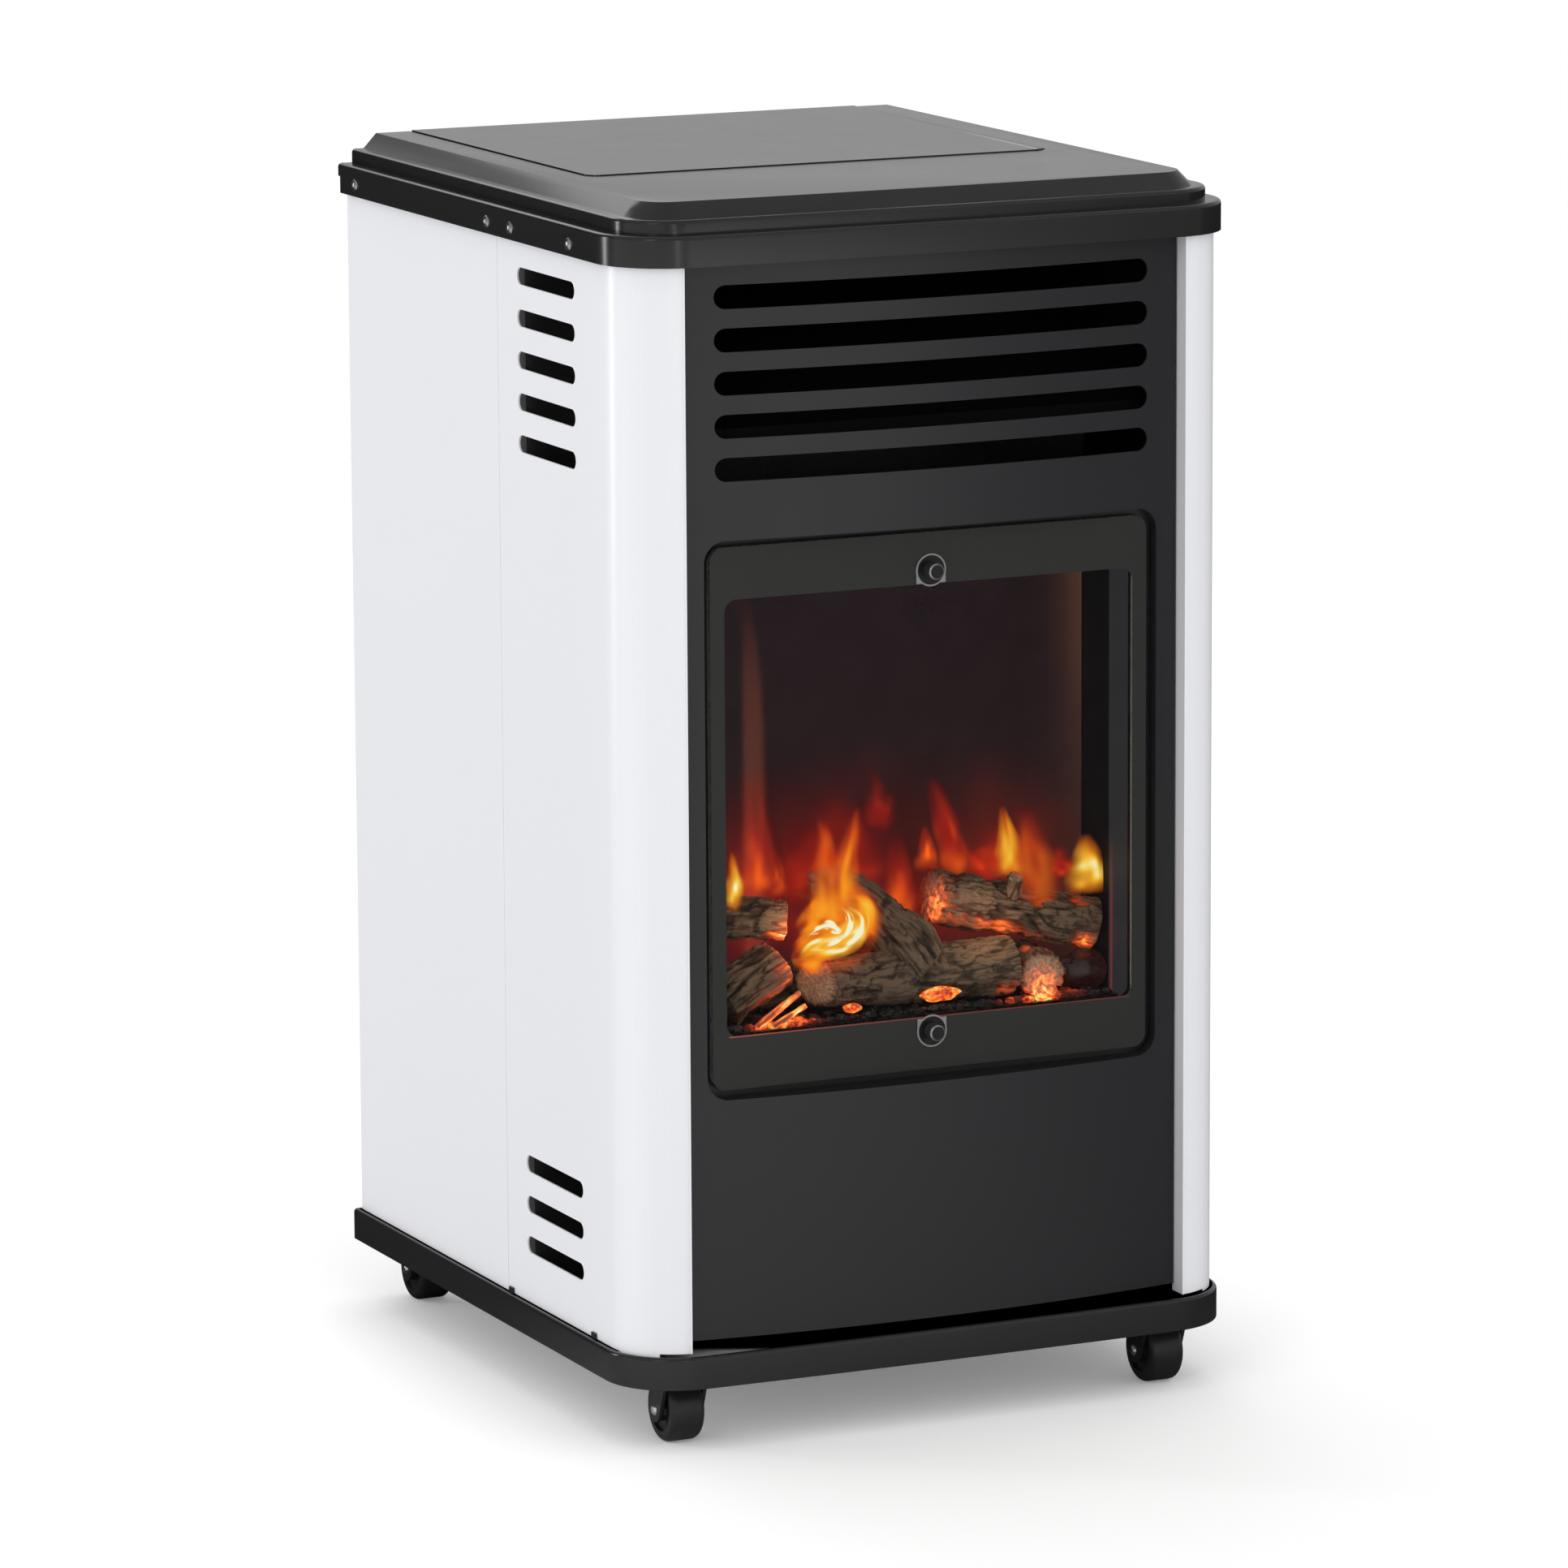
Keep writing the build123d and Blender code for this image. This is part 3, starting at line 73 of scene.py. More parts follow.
class HeaterColours(bpy.types.PropertyGroup):
    """Colours and strengths that a user would change."""

    white: bpy.props.FloatVectorProperty(
        name="White enamel", description="Colour of the side panels and pillars",
        subtype="COLOR", size=4, min=0, max=1, default=(0.80, 0.805, 0.84, 1))
    black: bpy.props.FloatVectorProperty(
        name="Black enamel", description="Colour of the cover, the base and the front panel",
        subtype="COLOR", size=4, min=0, max=1, default=(0.0118, 0.012, 0.0128, 1))
    border: bpy.props.FloatVectorProperty(
        name="Window border", description="Colour of the print round the window",
        subtype="COLOR", size=4, min=0, max=1, default=(0.0165, 0.0168, 0.0148, 1))
    bark: bpy.props.FloatVectorProperty(
        name="Bark", description="Colour of the log's bark ridges",
        subtype="COLOR", size=4, min=0, max=1, default=(0.225, 0.152, 0.096, 1))
    flame: bpy.props.FloatProperty(
        name="Flame strength", description="How brightly the flames shine",
        min=0, max=40, default=1.15)
    ember: bpy.props.FloatProperty(
        name="Ember strength", description="How brightly the embers glow",
        min=0, max=40, default=1.3)


class HeaterSizes(bpy.types.PropertyGroup):
    """Small sizes that belong to the looks alone."""

    edge: bpy.props.FloatProperty(
        name="Sheet edge radius", description="Rounding of the pressed sheet edges",
        subtype="DISTANCE", unit="LENGTH", min=0, max=0.003, default=0.0004)
    lip: bpy.props.FloatProperty(
        name="Window lip radius", description="Radius of the rolled lip round the window",
        subtype="DISTANCE", unit="LENGTH", min=0, max=0.004, default=0.0009)
    bark_depth: bpy.props.FloatProperty(
        name="Bark depth", description="Depth of the grooves in the bark",
        subtype="DISTANCE", unit="LENGTH", min=0, max=0.006, default=0.0034)


def colours():
    return bpy.context.scene.heater_colours


def sizes():
    return bpy.context.scene.heater_sizes


# ------------------------------------------------------------------ meshes


def link(obj):
    bpy.context.scene.collection.objects.link(obj)
    return obj


def new_piece(mesh, finish, replaced=(), body="cabinet"):
    """Link a mesh as a piece of the same name, its finish and the body it rides on."""
    obj = link(bpy.data.objects.new(mesh.name, mesh))
    mesh.materials.clear()
    mesh.materials.append(finish_named(finish))
    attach(obj, body)
    if replaced:
        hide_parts(*replaced)
    return obj


def grid_faces(rows, columns, wrap=False):
    """Quads that join a grid of points, whose columns may close into a ring."""
    row = np.arange(rows - 1)[:, None] * columns
    column = np.arange(columns if wrap else columns - 1)[None, :]
    after = (column + 1) % columns
    quads = [row + column, row + after, row + columns + after, row + columns + column]
    return np.stack(np.broadcast_arrays(*quads), -1).reshape(-1, 4)


def surface(name, points, faces, smooth=True, values=None, tones=None, grain=None):
    """A mesh from arrays of points and faces, with optional values, tones and grain places."""
    mesh = bpy.data.meshes.new(name)
    mesh.from_pydata(np.asarray(points, float).reshape(-1, 3).tolist(), [], [list(f) for f in faces])
    mesh.update()
    mesh.polygons.foreach_set("use_smooth", np.full(len(mesh.polygons), smooth))
    layers = [(key, "FLOAT", "value", value) for key, value in (values or {}).items()]
    if tones is not None:
        tones = np.reshape(tones, (-1, 3))
        layers.append(("tone", "FLOAT_COLOR", "color", np.column_stack([tones, np.ones(len(tones))])))
    if grain is not None:
        layers.append(("grain", "FLOAT_VECTOR", "vector", grain))
    for key, kind, field, value in layers:
        attribute = mesh.attributes.new(key, kind, "POINT")
        attribute.data.foreach_set(field, np.asarray(value, np.float32).ravel())
    return mesh


def outward(mesh):
    """Merge doubled points and turn every face of a closed mesh outwards."""
    form = bmesh.new()
    form.from_mesh(mesh)
    bmesh.ops.remove_doubles(form, verts=form.verts, dist=1e-6)
    bmesh.ops.recalc_face_normals(form, faces=form.faces)
    form.to_mesh(mesh)
    form.free()
    return mesh


SHARP_EDGE = math.radians(40)
FLAT_JOIN = math.radians(0.25)


def dressed(node, finish, angle=32, bevel=0.0, segments=2, merge=True, rims=None):
    """A smooth-shaded copy of a CAD node, with its edges rounded where asked.

    merge joins the triangles of each flat face, and rims gives the share of the rounding
    at the middle of each sharp edge.
    """
    form = bmesh.new()
    form.from_mesh(NODES[node].data)
    bmesh.ops.remove_doubles(form, verts=form.verts, dist=2e-6)
    if merge:
        bmesh.ops.dissolve_limit(form, angle_limit=FLAT_JOIN, verts=form.verts, edges=form.edges)
    if rims:
        share = form.edges.layers.float.new("bevel_weight_edge")
        for edge in form.edges:
            if edge.calc_face_angle(0) > SHARP_EDGE:
                edge[share] = rims((edge.verts[0].co + edge.verts[1].co) / (2 * MM))
    mesh = bpy.data.meshes.new(f"{node}_finish")
    form.to_mesh(mesh)
    form.free()
    mesh.shade_smooth()
    mesh.set_sharp_from_angle(angle=math.radians(angle))
    piece = new_piece(mesh, finish, (node,), BODY_OF[node])
    if bevel:
        rounding = piece.modifiers.new("edges", "BEVEL")
        rounding.width = bevel
        rounding.segments = segments
        rounding.limit_method = "WEIGHT" if rims else "ANGLE"
        rounding.angle_limit = SHARP_EDGE
        rounding.harden_normals = True
    return piece


def read_all(rows, field, width=1, kind=np.float32):
    """One field of every row of a mesh, as an array with so many columns."""
    values = np.zeros(len(rows) * width, kind)
    rows.foreach_get(field, values)
    return values.reshape(-1, width) if width > 1 else values


BOW_REACH = 0.25
BOW_TURN = math.radians(3)


def true_bow(piece, radius, centre_y):
    """Give the faces on an upright cylinder of a piece the cylinder's own normals.

    Normal = (x, y - centre, 0) / radius wherever a corner lies that far from the axis and
    its face looks the same way to within three degrees.
    """
    graph = bpy.context.evaluated_depsgraph_get()
    mesh = bpy.data.meshes.new_from_object(piece.evaluated_get(graph))
    corner = read_all(mesh.corner_normals, "vector", 3)
    place = read_all(mesh.vertices, "co", 3)[read_all(mesh.loops, "vertex_index", kind=np.int32)]
    corners_each = read_all(mesh.polygons, "loop_total", kind=np.int32)
    flat = np.repeat(read_all(mesh.polygons, "normal", 3), corners_each, axis=0)
    out = place / MM - np.array((0, centre_y, 0))
    out[:, 2] = 0
    reach = np.linalg.norm(out, axis=1)
    out /= reach[:, None]
    on = (np.abs(reach - radius) < BOW_REACH) & ((out * flat).sum(1) > math.cos(BOW_TURN))
    corner[on] = out[on]
    piece.modifiers.clear()
    piece.data = mesh
    mesh.normals_split_custom_set(corner.tolist())


# ------------------------------------------------------------------ nodes


def principled(name, colour, **sockets):
    """A material whose even values stand on the shader's own sockets."""
    material = bpy.data.materials.new(name)
    material.use_nodes = True
    shader = material.node_tree.nodes["Principled BSDF"]
    shader.inputs["Base Color"].default_value = (*colour[:3], 1)
    for key, value in sockets.items():
        shader.inputs[key.replace("_", " ")].default_value = value
    return material, shader


def add_node(owner, kind, **values):
    """A node in a material or world; each value is one of its settings or of its inputs."""
    node = owner.node_tree.nodes.new(kind)
    for key, value in values.items():
        if hasattr(node, key):
            setattr(node, key, value)
        else:
            node.inputs[key.replace("_", " ")].default_value = value
    return node


def connect(owner, start, end):
    owner.node_tree.links.new(start, end)


def feed(owner, socket, value):
    """Give a socket a plain value, or join it to another socket."""
    if isinstance(value, bpy.types.NodeSocket):
        connect(owner, value, socket)
    else:
        socket.default_value = value


def worked(owner, operation, *terms, kind="ShaderNodeMath"):
    """The value of a Math or VectorMath node on sockets or plain numbers."""
    node = add_node(owner, kind, operation=operation)
    for socket, term in zip(node.inputs, terms):
        feed(owner, socket, term)
    return node.outputs["Value"]


def mapped(owner, source, start, end, low, high, **settings):
    """A value that runs from low to high while the source runs from start to end."""
    node = add_node(owner, "ShaderNodeMapRange", **settings)
    for key, value in (("From Min", start), ("From Max", end), ("To Min", low), ("To Max", high)):
        node.inputs[key].default_value = value
    connect(owner, source, node.inputs["Value"])
    return node.outputs["Result"]


def blend_by(owner, factor, low, high):
    """A value that runs from low to high with a factor; each may be a number or a socket."""
    node = add_node(owner, "ShaderNodeMix")
    for key, value in (("Factor", factor), ("A", low), ("B", high)):
        feed(owner, node.inputs[key], value)
    return node.outputs["Result"]


def object_place(owner, output="Object"):
    return add_node(owner, "ShaderNodeTexCoord").outputs[output]


def attribute_of(material, name, output="Fac"):
    return add_node(material, "ShaderNodeAttribute", attribute_name=name).outputs[output]


def ramp(material, source, stops):
    """A colour ramp of (place, colour) stops fed by a value."""
    node = add_node(material, "ShaderNodeValToRGB")
    band = node.color_ramp
    while len(band.elements) < len(stops):
        band.elements.new(0.5)
    for element, (place, colour) in zip(band.elements, stops):
        element.position = place
        element.color = (*colour[:3], 1)
    connect(material, source, node.inputs["Fac"])
    return node.outputs["Color"]


def noise(material, scale, detail=3.0, stretch=None, roughness=0.5, place=None):
    """Noise on Object coordinates or another place; stretch scales it along each axis."""
    if place is None:
        place = object_place(material)
    if stretch:
        mapping = add_node(material, "ShaderNodeMapping", Scale=stretch)
        connect(material, place, mapping.inputs["Vector"])
        place = mapping.outputs["Vector"]
    node = add_node(material, "ShaderNodeTexNoise", Scale=scale, Detail=detail, Roughness=roughness)
    connect(material, place, node.inputs["Vector"])
    return node.outputs["Fac"]


def add_bump(material, shader, height, strength, distance):
    node = add_node(material, "ShaderNodeBump", Strength=strength, Distance=distance)
    connect(material, height, node.inputs["Height"])
    connect(material, node.outputs["Normal"], shader.inputs["Normal"])


def varied(material, shader, socket, source, low, high):
    """Let a socket run between two values over the middle part of a noise."""
    connect(material, mapped(material, source, 0.2, 0.8, low, high, clamp=False), shader.inputs[socket])


def tinted(material, shader, source, low, high):
    """Let the base colour run between two colours with a source from 0 to 1."""
    colour = ramp(material, source, [(0.3, low), (0.7, high)])
    connect(material, colour, shader.inputs["Base Color"])


def coated(name, colour, gloss, grain_scale, grain, spread=0.04, tint=0.06, **sockets):
    """Enamel or powder coat: faint orange peel, uneven gloss and a slight tint change."""
    material, shader = principled(name, colour, **sockets)
    base = np.array(colour[:3])
    tinted(material, shader, noise(material, 9.0, 2.0), base * (1 - tint), base * (1 + tint))
    varied(material, shader, "Roughness", noise(material, 30.0, 2.0), gloss - spread, gloss + spread)
    add_bump(material, shader, noise(material, grain_scale, 2.0), grain, 0.0004)
    return material


def metal(name, colour, gloss, stretch, grain=0.15, scale=400.0, bare=1.0):
    """Rolled or turned metal with fine lines along one direction; a dull plating is less bare."""
    material, shader = principled(name, colour, Metallic=bare)
    base = np.array(colour[:3])
    lines = noise(material, scale, 3.0, stretch)
    tinted(material, shader, lines, base * 0.82, np.minimum(base * 1.12, 1))
    varied(material, shader, "Roughness", lines, gloss - 0.08, gloss + 0.1)
    add_bump(material, shader, lines, grain, 0.0002)
    return material


# ------------------------------------------------------------------ finishes

COATS = {
    # finish: material, colour, gloss, scale and strength of the grain, specular level
    "black_matte": ("black_matte_coat", (0.016, 0.016, 0.017), 0.5, 1800.0, 0.25, 0.3),
    "black_plastic": ("moulded_black_plastic", (0.011, 0.011, 0.012), 0.36, 2200.0, 0.2, 0.35),
    # Near black with almost no sheen, for the parts behind the slots: painted shade that keeps the slots
    # dark.
    "duct_black": ("duct_black", (0.003, 0.003, 0.003), 0.7, 1800.0, 0.25, 0.05),
    "red_plastic": ("moulded_red_plastic", (0.42, 0.022, 0.014), 0.32, 1500.0, 0.1, 0.5),
    "black_rubber": ("soft_black_rubber", (0.02, 0.02, 0.02), 0.68, 1500.0, 0.3, 0.5),
    "white_ceramic": ("glazed_ceramic", (0.82, 0.8, 0.75), 0.25, 900.0, 0.06, 0.5),
    "chamber_steel": ("chamber_steel", (0.014, 0.012, 0.012), 0.55, 1500.0, 0.3, 0.2),
}
METALS = {
    # finish: material, colour, gloss, stretch of its lines, their strength and scale, bareness
    "screw_steel": ("dark_screw_steel", (0.3, 0.3, 0.31), 0.26, (1, 1, 1), 0.15, 900.0, 1.0),
    "zinc": ("zinc_plate", (0.5, 0.5, 0.51), 0.42, (1, 1, 0.15), 0.15, 400.0, 0.5),
    "bright_steel": ("bright_steel", (0.72, 0.72, 0.73), 0.22, (1, 1, 1), 0.15, 900.0, 1.0),
    "brass": ("machined_brass", (0.78, 0.58, 0.27), 0.26, (1, 6, 1), 0.15, 600.0, 1.0),
    "cast_aluminium": ("cast_aluminium", (0.68, 0.68, 0.69), 0.48, (1, 1, 1), 0.5, 1200.0, 1.0),
    "drawn_aluminium": ("drawn_aluminium", (0.74, 0.74, 0.75), 0.3, (1, 1, 0.2), 0.15, 400.0, 1.0),
    "copper": ("drawn_copper", (0.72, 0.4, 0.26), 0.28, (1, 1, 0.2), 0.15, 400.0, 1.0),
    "tinted_steel": ("heat_tinted_steel", (0.33, 0.29, 0.26), 0.42, (0.3, 1, 1), 0.15, 400.0, 1.0),
}


def white_enamel():
    """Smooth white enamel on thin sheet: long faint waves and slightly uneven gloss."""
    material, shader = principled("white_enamel", colours().white)
    varied(material, shader, "Roughness", noise(material, 6.0, 1.0), 0.27, 0.3)
    add_bump(material, shader, noise(material, 16.0, 1.0), 0.03, 0.0005)
    return material


def black_cover():
    return coated("black_cover_enamel", colours().black, 0.2, 1400.0, 0.04, spread=0.012, tint=0.03,
                  Specular_IOR_Level=0.34)


def black_panel():
    base = np.array(colours().black[:3]) * (1.0, 1.0, 1.08)
    return coated("black_panel_enamel", base, 0.33, 1600.0, 0.06, spread=0.02, tint=0.03,
                  Specular_IOR_Level=0.34)


def fibre_rope():
    """Woven glass-fibre rope, whose strands are fine stretched noise."""
    material, shader = principled("fibre_rope", (0.3, 0.29, 0.27), Roughness=0.9)
    strand = noise(material, 700.0, 4.0, (1, 1, 3))
    tinted(material, shader, strand, (0.2, 0.19, 0.17), (0.42, 0.41, 0.38))
    add_bump(material, shader, strand, 0.7, 0.0006)
    return material


def window_glass():
    """Thin ceramic glass, toned a little grey, that lets the fire through."""
    material, shader = principled("window_glass", (0.004, 0.004, 0.004), Alpha=0.12, Specular_IOR_Level=0.16)
    varied(material, shader, "Roughness", noise(material, 7.0, 1.0), 0.05, 0.09)
    add_bump(material, shader, noise(material, 5.0, 1.0), 0.01, 0.0005)
    return material


def window_print():
    """The dark ceramic print on the border of the glass."""
    base = np.array(colours().border[:3])
    material, shader = principled("window_border_print", base, Specular_IOR_Level=0.25)
    tinted(material, shader, noise(material, 14.0, 2.0), base * 0.97, base * 1.03)
    varied(material, shader, "Roughness", noise(material, 60.0, 2.0), 0.3, 0.36)
    add_bump(material, shader, noise(material, 2500.0, 1.0), 0.02, 0.0001)
    return material


def soot_and_painted_glow():
    """The sooted inside of the chamber, with painted light: its tones, shone out as emission, hold the warm
    glow that the fire throws on it.
    """
    material, shader = principled("soot_and_glow", (0.008, 0.007, 0.007), Roughness=0.6,
                                  Specular_IOR_Level=0.08, Emission_Strength=1.0)
    tinted(material, shader, noise(material, 60.0, 4.0), (0.005, 0.004, 0.004), (0.011, 0.009, 0.009))
    connect(material, attribute_of(material, "tone", "Color"), shader.inputs["Emission Color"])
    add_bump(material, shader, noise(material, 500.0, 3.0), 0.03, 0.0003)
    return material


def heated(material, shader, patches, start, end, low, high, stops):
    """Let the glow attribute, made uneven by a noise, shine through a ramp of fire colours."""
    uneven = worked(material, "MULTIPLY", attribute_of(material, "glow"),
                    mapped(material, patches, start, end, low, high))
    connect(material, ramp(material, uneven, stops), shader.inputs["Emission Color"])


def bark():
    """Bark from the surface's own height: black cracks, grey-brown plates, tan ends, embers.

    The fine fibres are noise on the grain attribute, which is stretched along each log.
    """
    material, shader = principled("ceramic_bark", (0.1, 0.08, 0.06), Roughness=0.8,
                                  Specular_IOR_Level=0.25, Emission_Strength=colours().ember)
    ridge = np.array(colours().bark[:3])
    grain = attribute_of(material, "grain", "Vector")
    fibre = noise(material, 0.42, 6.0, roughness=0.68, place=grain)
    height = worked(material, "MULTIPLY_ADD", fibre, 1.3, attribute_of(material, "height"))
    skin = ramp(material, height, [
        (0.38, ridge * 0.04), (0.56, ridge * 0.13), (0.8, ridge * 0.34), (1.0, ridge * 0.8)])
    tan = ramp(material, fibre, [(0.34, (0.26, 0.16, 0.095)), (0.66, (0.72, 0.5, 0.32))])
    share = worked(material, "MULTIPLY", attribute_of(material, "cut"), 0.8)
    blend = add_node(material, "ShaderNodeMix", data_type="RGBA")
    for key, source in (("Factor", share), ("A", skin), ("B", tan)):
        connect(material, source, blend.inputs[key])
    connect(material, blend.outputs["Result"], shader.inputs["Base Color"])
    heated(material, shader, noise(material, 0.22, 2.0, place=grain), 0.36, 0.62, 0.35, 1.25, [
        (0.0, (0, 0, 0)), (0.12, (0.03, 0.003, 0.001)), (0.35, (0.35, 0.035, 0.006)),
        (0.6, (0.95, 0.15, 0.02)), (0.85, (1.0, 0.42, 0.07)), (1.0, (1.0, 0.8, 0.35))])
    add_bump(material, shader, fibre, 1.0, 0.0012)
    return material


def coal_black():
    """Shiny dark coals with a little fire in their cracks."""
    material, shader = principled("coal", (0.012, 0.011, 0.011), Roughness=0.3,
                                  Emission_Strength=colours().ember)
    facets = noise(material, 260.0, 3.0)
    tinted(material, shader, facets, (0.004, 0.004, 0.004), (0.03, 0.026, 0.024))
    varied(material, shader, "Roughness", noise(material, 120.0, 2.0), 0.18, 0.5)
    heated(material, shader, noise(material, 330.0, 4.0), 0.35, 0.62, 0.45, 1.15, [
        (0.0, (0, 0, 0)), (0.2, (0.08, 0.006, 0.001)), (0.45, (0.8, 0.07, 0.01)),
        (0.7, (1.0, 0.26, 0.03)), (1.0, (1.0, 0.7, 0.2))])
    add_bump(material, shader, facets, 0.6, 0.001)
    return material


def flame():
    """A flame from its own values: hot and dense in the middle, red and clear at the rim."""
    material, shader = principled("flame", (0, 0, 0), Roughness=1.0, Specular_IOR_Level=0.0,
                                  Emission_Strength=colours().flame)
    colour = ramp(material, attribute_of(material, "flame_heat"), [
        (0.0, (0.16, 0.004, 0.002)), (0.25, (0.6, 0.022, 0.008)), (0.5, (0.98, 0.12, 0.008)),
        (0.72, (1.0, 0.3, 0.012)), (0.88, (1.0, 0.52, 0.035)), (0.95, (1.0, 0.72, 0.14)),
        (1.0, (1.0, 0.95, 0.68))])
    connect(material, colour, shader.inputs["Emission Color"])
    connect(material, attribute_of(material, "flame_body"), shader.inputs["Alpha"])
    return material


STUD_LEVELS = (240.0, 521.5)
RING_SPAN = 20.0
RING_BLUR = 0.01


def ringed(name, inner, outer, dark, bright, gloss):
    """Dark steel with a painted highlight: a pale ring round each stud's axis, where the washers' rims and
    the studs' chamfers catch light.
    """
    material, shader = principled(name, dark, Roughness=gloss, Metallic=0.7)
    flat = add_node(material, "ShaderNodeMapping", Scale=(1, 0, 1))
    connect(material, object_place(material), flat.inputs["Vector"])
    reach = [worked(material, "DISTANCE", flat.outputs["Vector"], (0, 0, level * MM),
                    kind="ShaderNodeVectorMath") for level in STUD_LEVELS]
    nearest = mapped(material, worked(material, "MINIMUM", *reach), 0, RING_SPAN * MM, 0, 1)
    start, end = inner / RING_SPAN, outer / RING_SPAN
    tone = ramp(material, nearest, [(start - RING_BLUR, dark), (start + RING_BLUR, bright),
                                    (end - RING_BLUR, bright), (end + RING_BLUR, dark)])
    connect(material, tone, shader.inputs["Base Color"])
    add_bump(material, shader, noise(material, 900.0, 2.0), 0.1, 0.0002)
    return material


# Painted highlight rings on the washers' rims and the studs' chamfers.
def dished_steel():
    return ringed("dished_washer", 8.9, 14.0, (0.012, 0.012, 0.012), (0.24, 0.24, 0.24), 0.32)


def stud_steel():
    return ringed("blackened_stud", 4.2, 4.9, (0.014, 0.014, 0.014), (0.3, 0.3, 0.3), 0.28)


MAKERS = {maker.__name__: maker for maker in (
    white_enamel, black_cover, black_panel, fibre_rope, window_glass, window_print, soot_and_painted_glow, bark,
    coal_black, flame, dished_steel, stud_steel)}
_finishes = {}


def finish_named(name):
    """Make each finish once, when it is first asked for."""
    if name not in _finishes:
        if name in COATS:
            *values, specular = COATS[name]
            _finishes[name] = coated(*values, Specular_IOR_Level=specular)
        elif name in METALS:
            _finishes[name] = metal(*METALS[name])
        else:
            _finishes[name] = MAKERS[name]()
    return _finishes[name]


# ------------------------------------------------------------------ stage

VIEW_AZIMUTH = -24.9
VIEW_PITCH = 10.69
VIEW_ROLL = -0.31
VIEW_SIDE = -0.00167
VIEW_HEIGHT = 0.3566
VIEW_DISTANCE = 5.3258
VIEW_FOCAL = 10550.0 / 1932.0  # focal length over the width of the picture
WORLD_LEVEL, MIRROR_LEVEL, FLAG_LEVEL = 0.9, 0.6, 0.03
FLAG_DIRECTION, FLAG_START, FLAG_END = (-0.6, 0.8, 0.0), 0.74, 0.86
FLOOR_REACH = 30.0
FLOOR_TONE, FLOOR_LIFT = 0.95, 0.15
FLOOR_SHADES = (
    # direction, start and end along it, tone at each, as mirrors see them
    ((0.6, 1.5, 0.0), -0.9, 0.2, 1.0, 0.05),
    ((1.0, 0.45, 0.0), -0.6, 0.6, 1.1, 0.3),
)
LAMPS = (
    # name, place, target, size, power
    ("key", (-2.9, -2.6, 2.2), (0, 0, 0.4), (1.0, 2.4), 12),
    ("left_strip", (-2.9, 2.0, 0.8), (0, 0, 0.45), (0.3, 1.6), 21),
    ("front_strip", (-0.5, -3.6, 0.9), (0, 0, 0.45), (0.3, 1.7), 4),
    ("low_front", (0.94, -3.27, 0.22), (0, 0, 0.6), (1.0, 0.5), 1.6),
    ("front_high", (1.66, -3.2, 2.1), (0, 0, 0.5), (1.6, 0.25), 3),
    ("top", (0.3, 2.6, 2.4), (0, 0, 0.75), (2.6, 1.2), 16),
)
FIRE_LAMPS = (("fire_left", (-84, -197, 312)), ("fire_right", (48, -197, 305)))
FIRE_POWER, FIRE_COLOUR, FIRE_SIZE = 0.05, (1.0, 0.62, 0.36), 0.012


def set_camera():
    """Stand the camera at the photograph's place and angle."""
    azimuth, pitch, roll = (math.radians(v) for v in (VIEW_AZIMUTH, VIEW_PITCH, VIEW_ROLL))
    level = math.cos(pitch)
    back = Vector((math.sin(azimuth) * level, -math.cos(azimuth) * level, math.sin(pitch)))
    right = Vector((0, 0, 1)).cross(back).normalized()
    up = back.cross(right)
    place = right * VIEW_SIDE + Vector((0, 0, VIEW_HEIGHT)) + back * VIEW_DISTANCE
    across = right * math.cos(roll) + up * math.sin(roll)
    above = up * math.cos(roll) - right * math.sin(roll)
    data = bpy.data.cameras.new("view")
    data.sensor_width = 36.0
    data.lens = VIEW_FOCAL * data.sensor_width
    data.clip_end = 60.0
    camera = link(bpy.data.objects.new("view", data))
    camera.matrix_world = Matrix([(*across, 0), (*above, 0), (*back, 0), (*place, 1)]).transposed()
    bpy.context.scene.camera = camera


def area_light(name, place, target, size, power):
    data = bpy.data.lights.new(name, "AREA")
    data.shape = "RECTANGLE"
    data.size, data.size_y = size
    data.energy = power
    lamp = link(bpy.data.objects.new(name, data))
    lamp.location = place
    lamp.rotation_euler = (Vector(target) - Vector(place)).to_track_quat("-Z", "Y").to_euler()


def fire_light(name, place):
    """The warm light that the flames throw on the logs beside them."""
    data = bpy.data.lights.new(name, "POINT")
    data.energy = FIRE_POWER
    data.color = FIRE_COLOUR
    data.shadow_soft_size = FIRE_SIZE
    lamp = link(bpy.data.objects.new(name, data))
    lamp.location = np.array(place) * MM
    for ray in ("visible_camera", "visible_glossy", "visible_transmission"):
        setattr(lamp, ray, False)


def set_world():
    """Even light from all round, white to the camera and grey-white in mirrors.

    A black flag at the back left keeps the sides of the black cover dark.
    """
    world = bpy.data.worlds.new("studio")
    bpy.context.scene.world = world
    world.use_nodes = True
    background = world.node_tree.nodes["Background"]
    background.inputs["Color"].default_value = (1, 1, 1, 1)
    ray = add_node(world, "ShaderNodeLightPath").outputs
    towards = worked(world, "DOT_PRODUCT", object_place(world, "Generated"), FLAG_DIRECTION,
                     kind="ShaderNodeVectorMath")
    flag = mapped(world, towards, FLAG_START, FLAG_END, 0, 1)
    mirror = blend_by(world, flag, MIRROR_LEVEL, FLAG_LEVEL)
    strength = blend_by(world, ray["Is Glossy Ray"], WORLD_LEVEL, mirror)
    strength = blend_by(world, ray["Is Transmission Ray"], strength, 1.0)
    strength = blend_by(world, ray["Is Camera Ray"], strength, 1.0)
    connect(world, strength, background.inputs["Strength"])


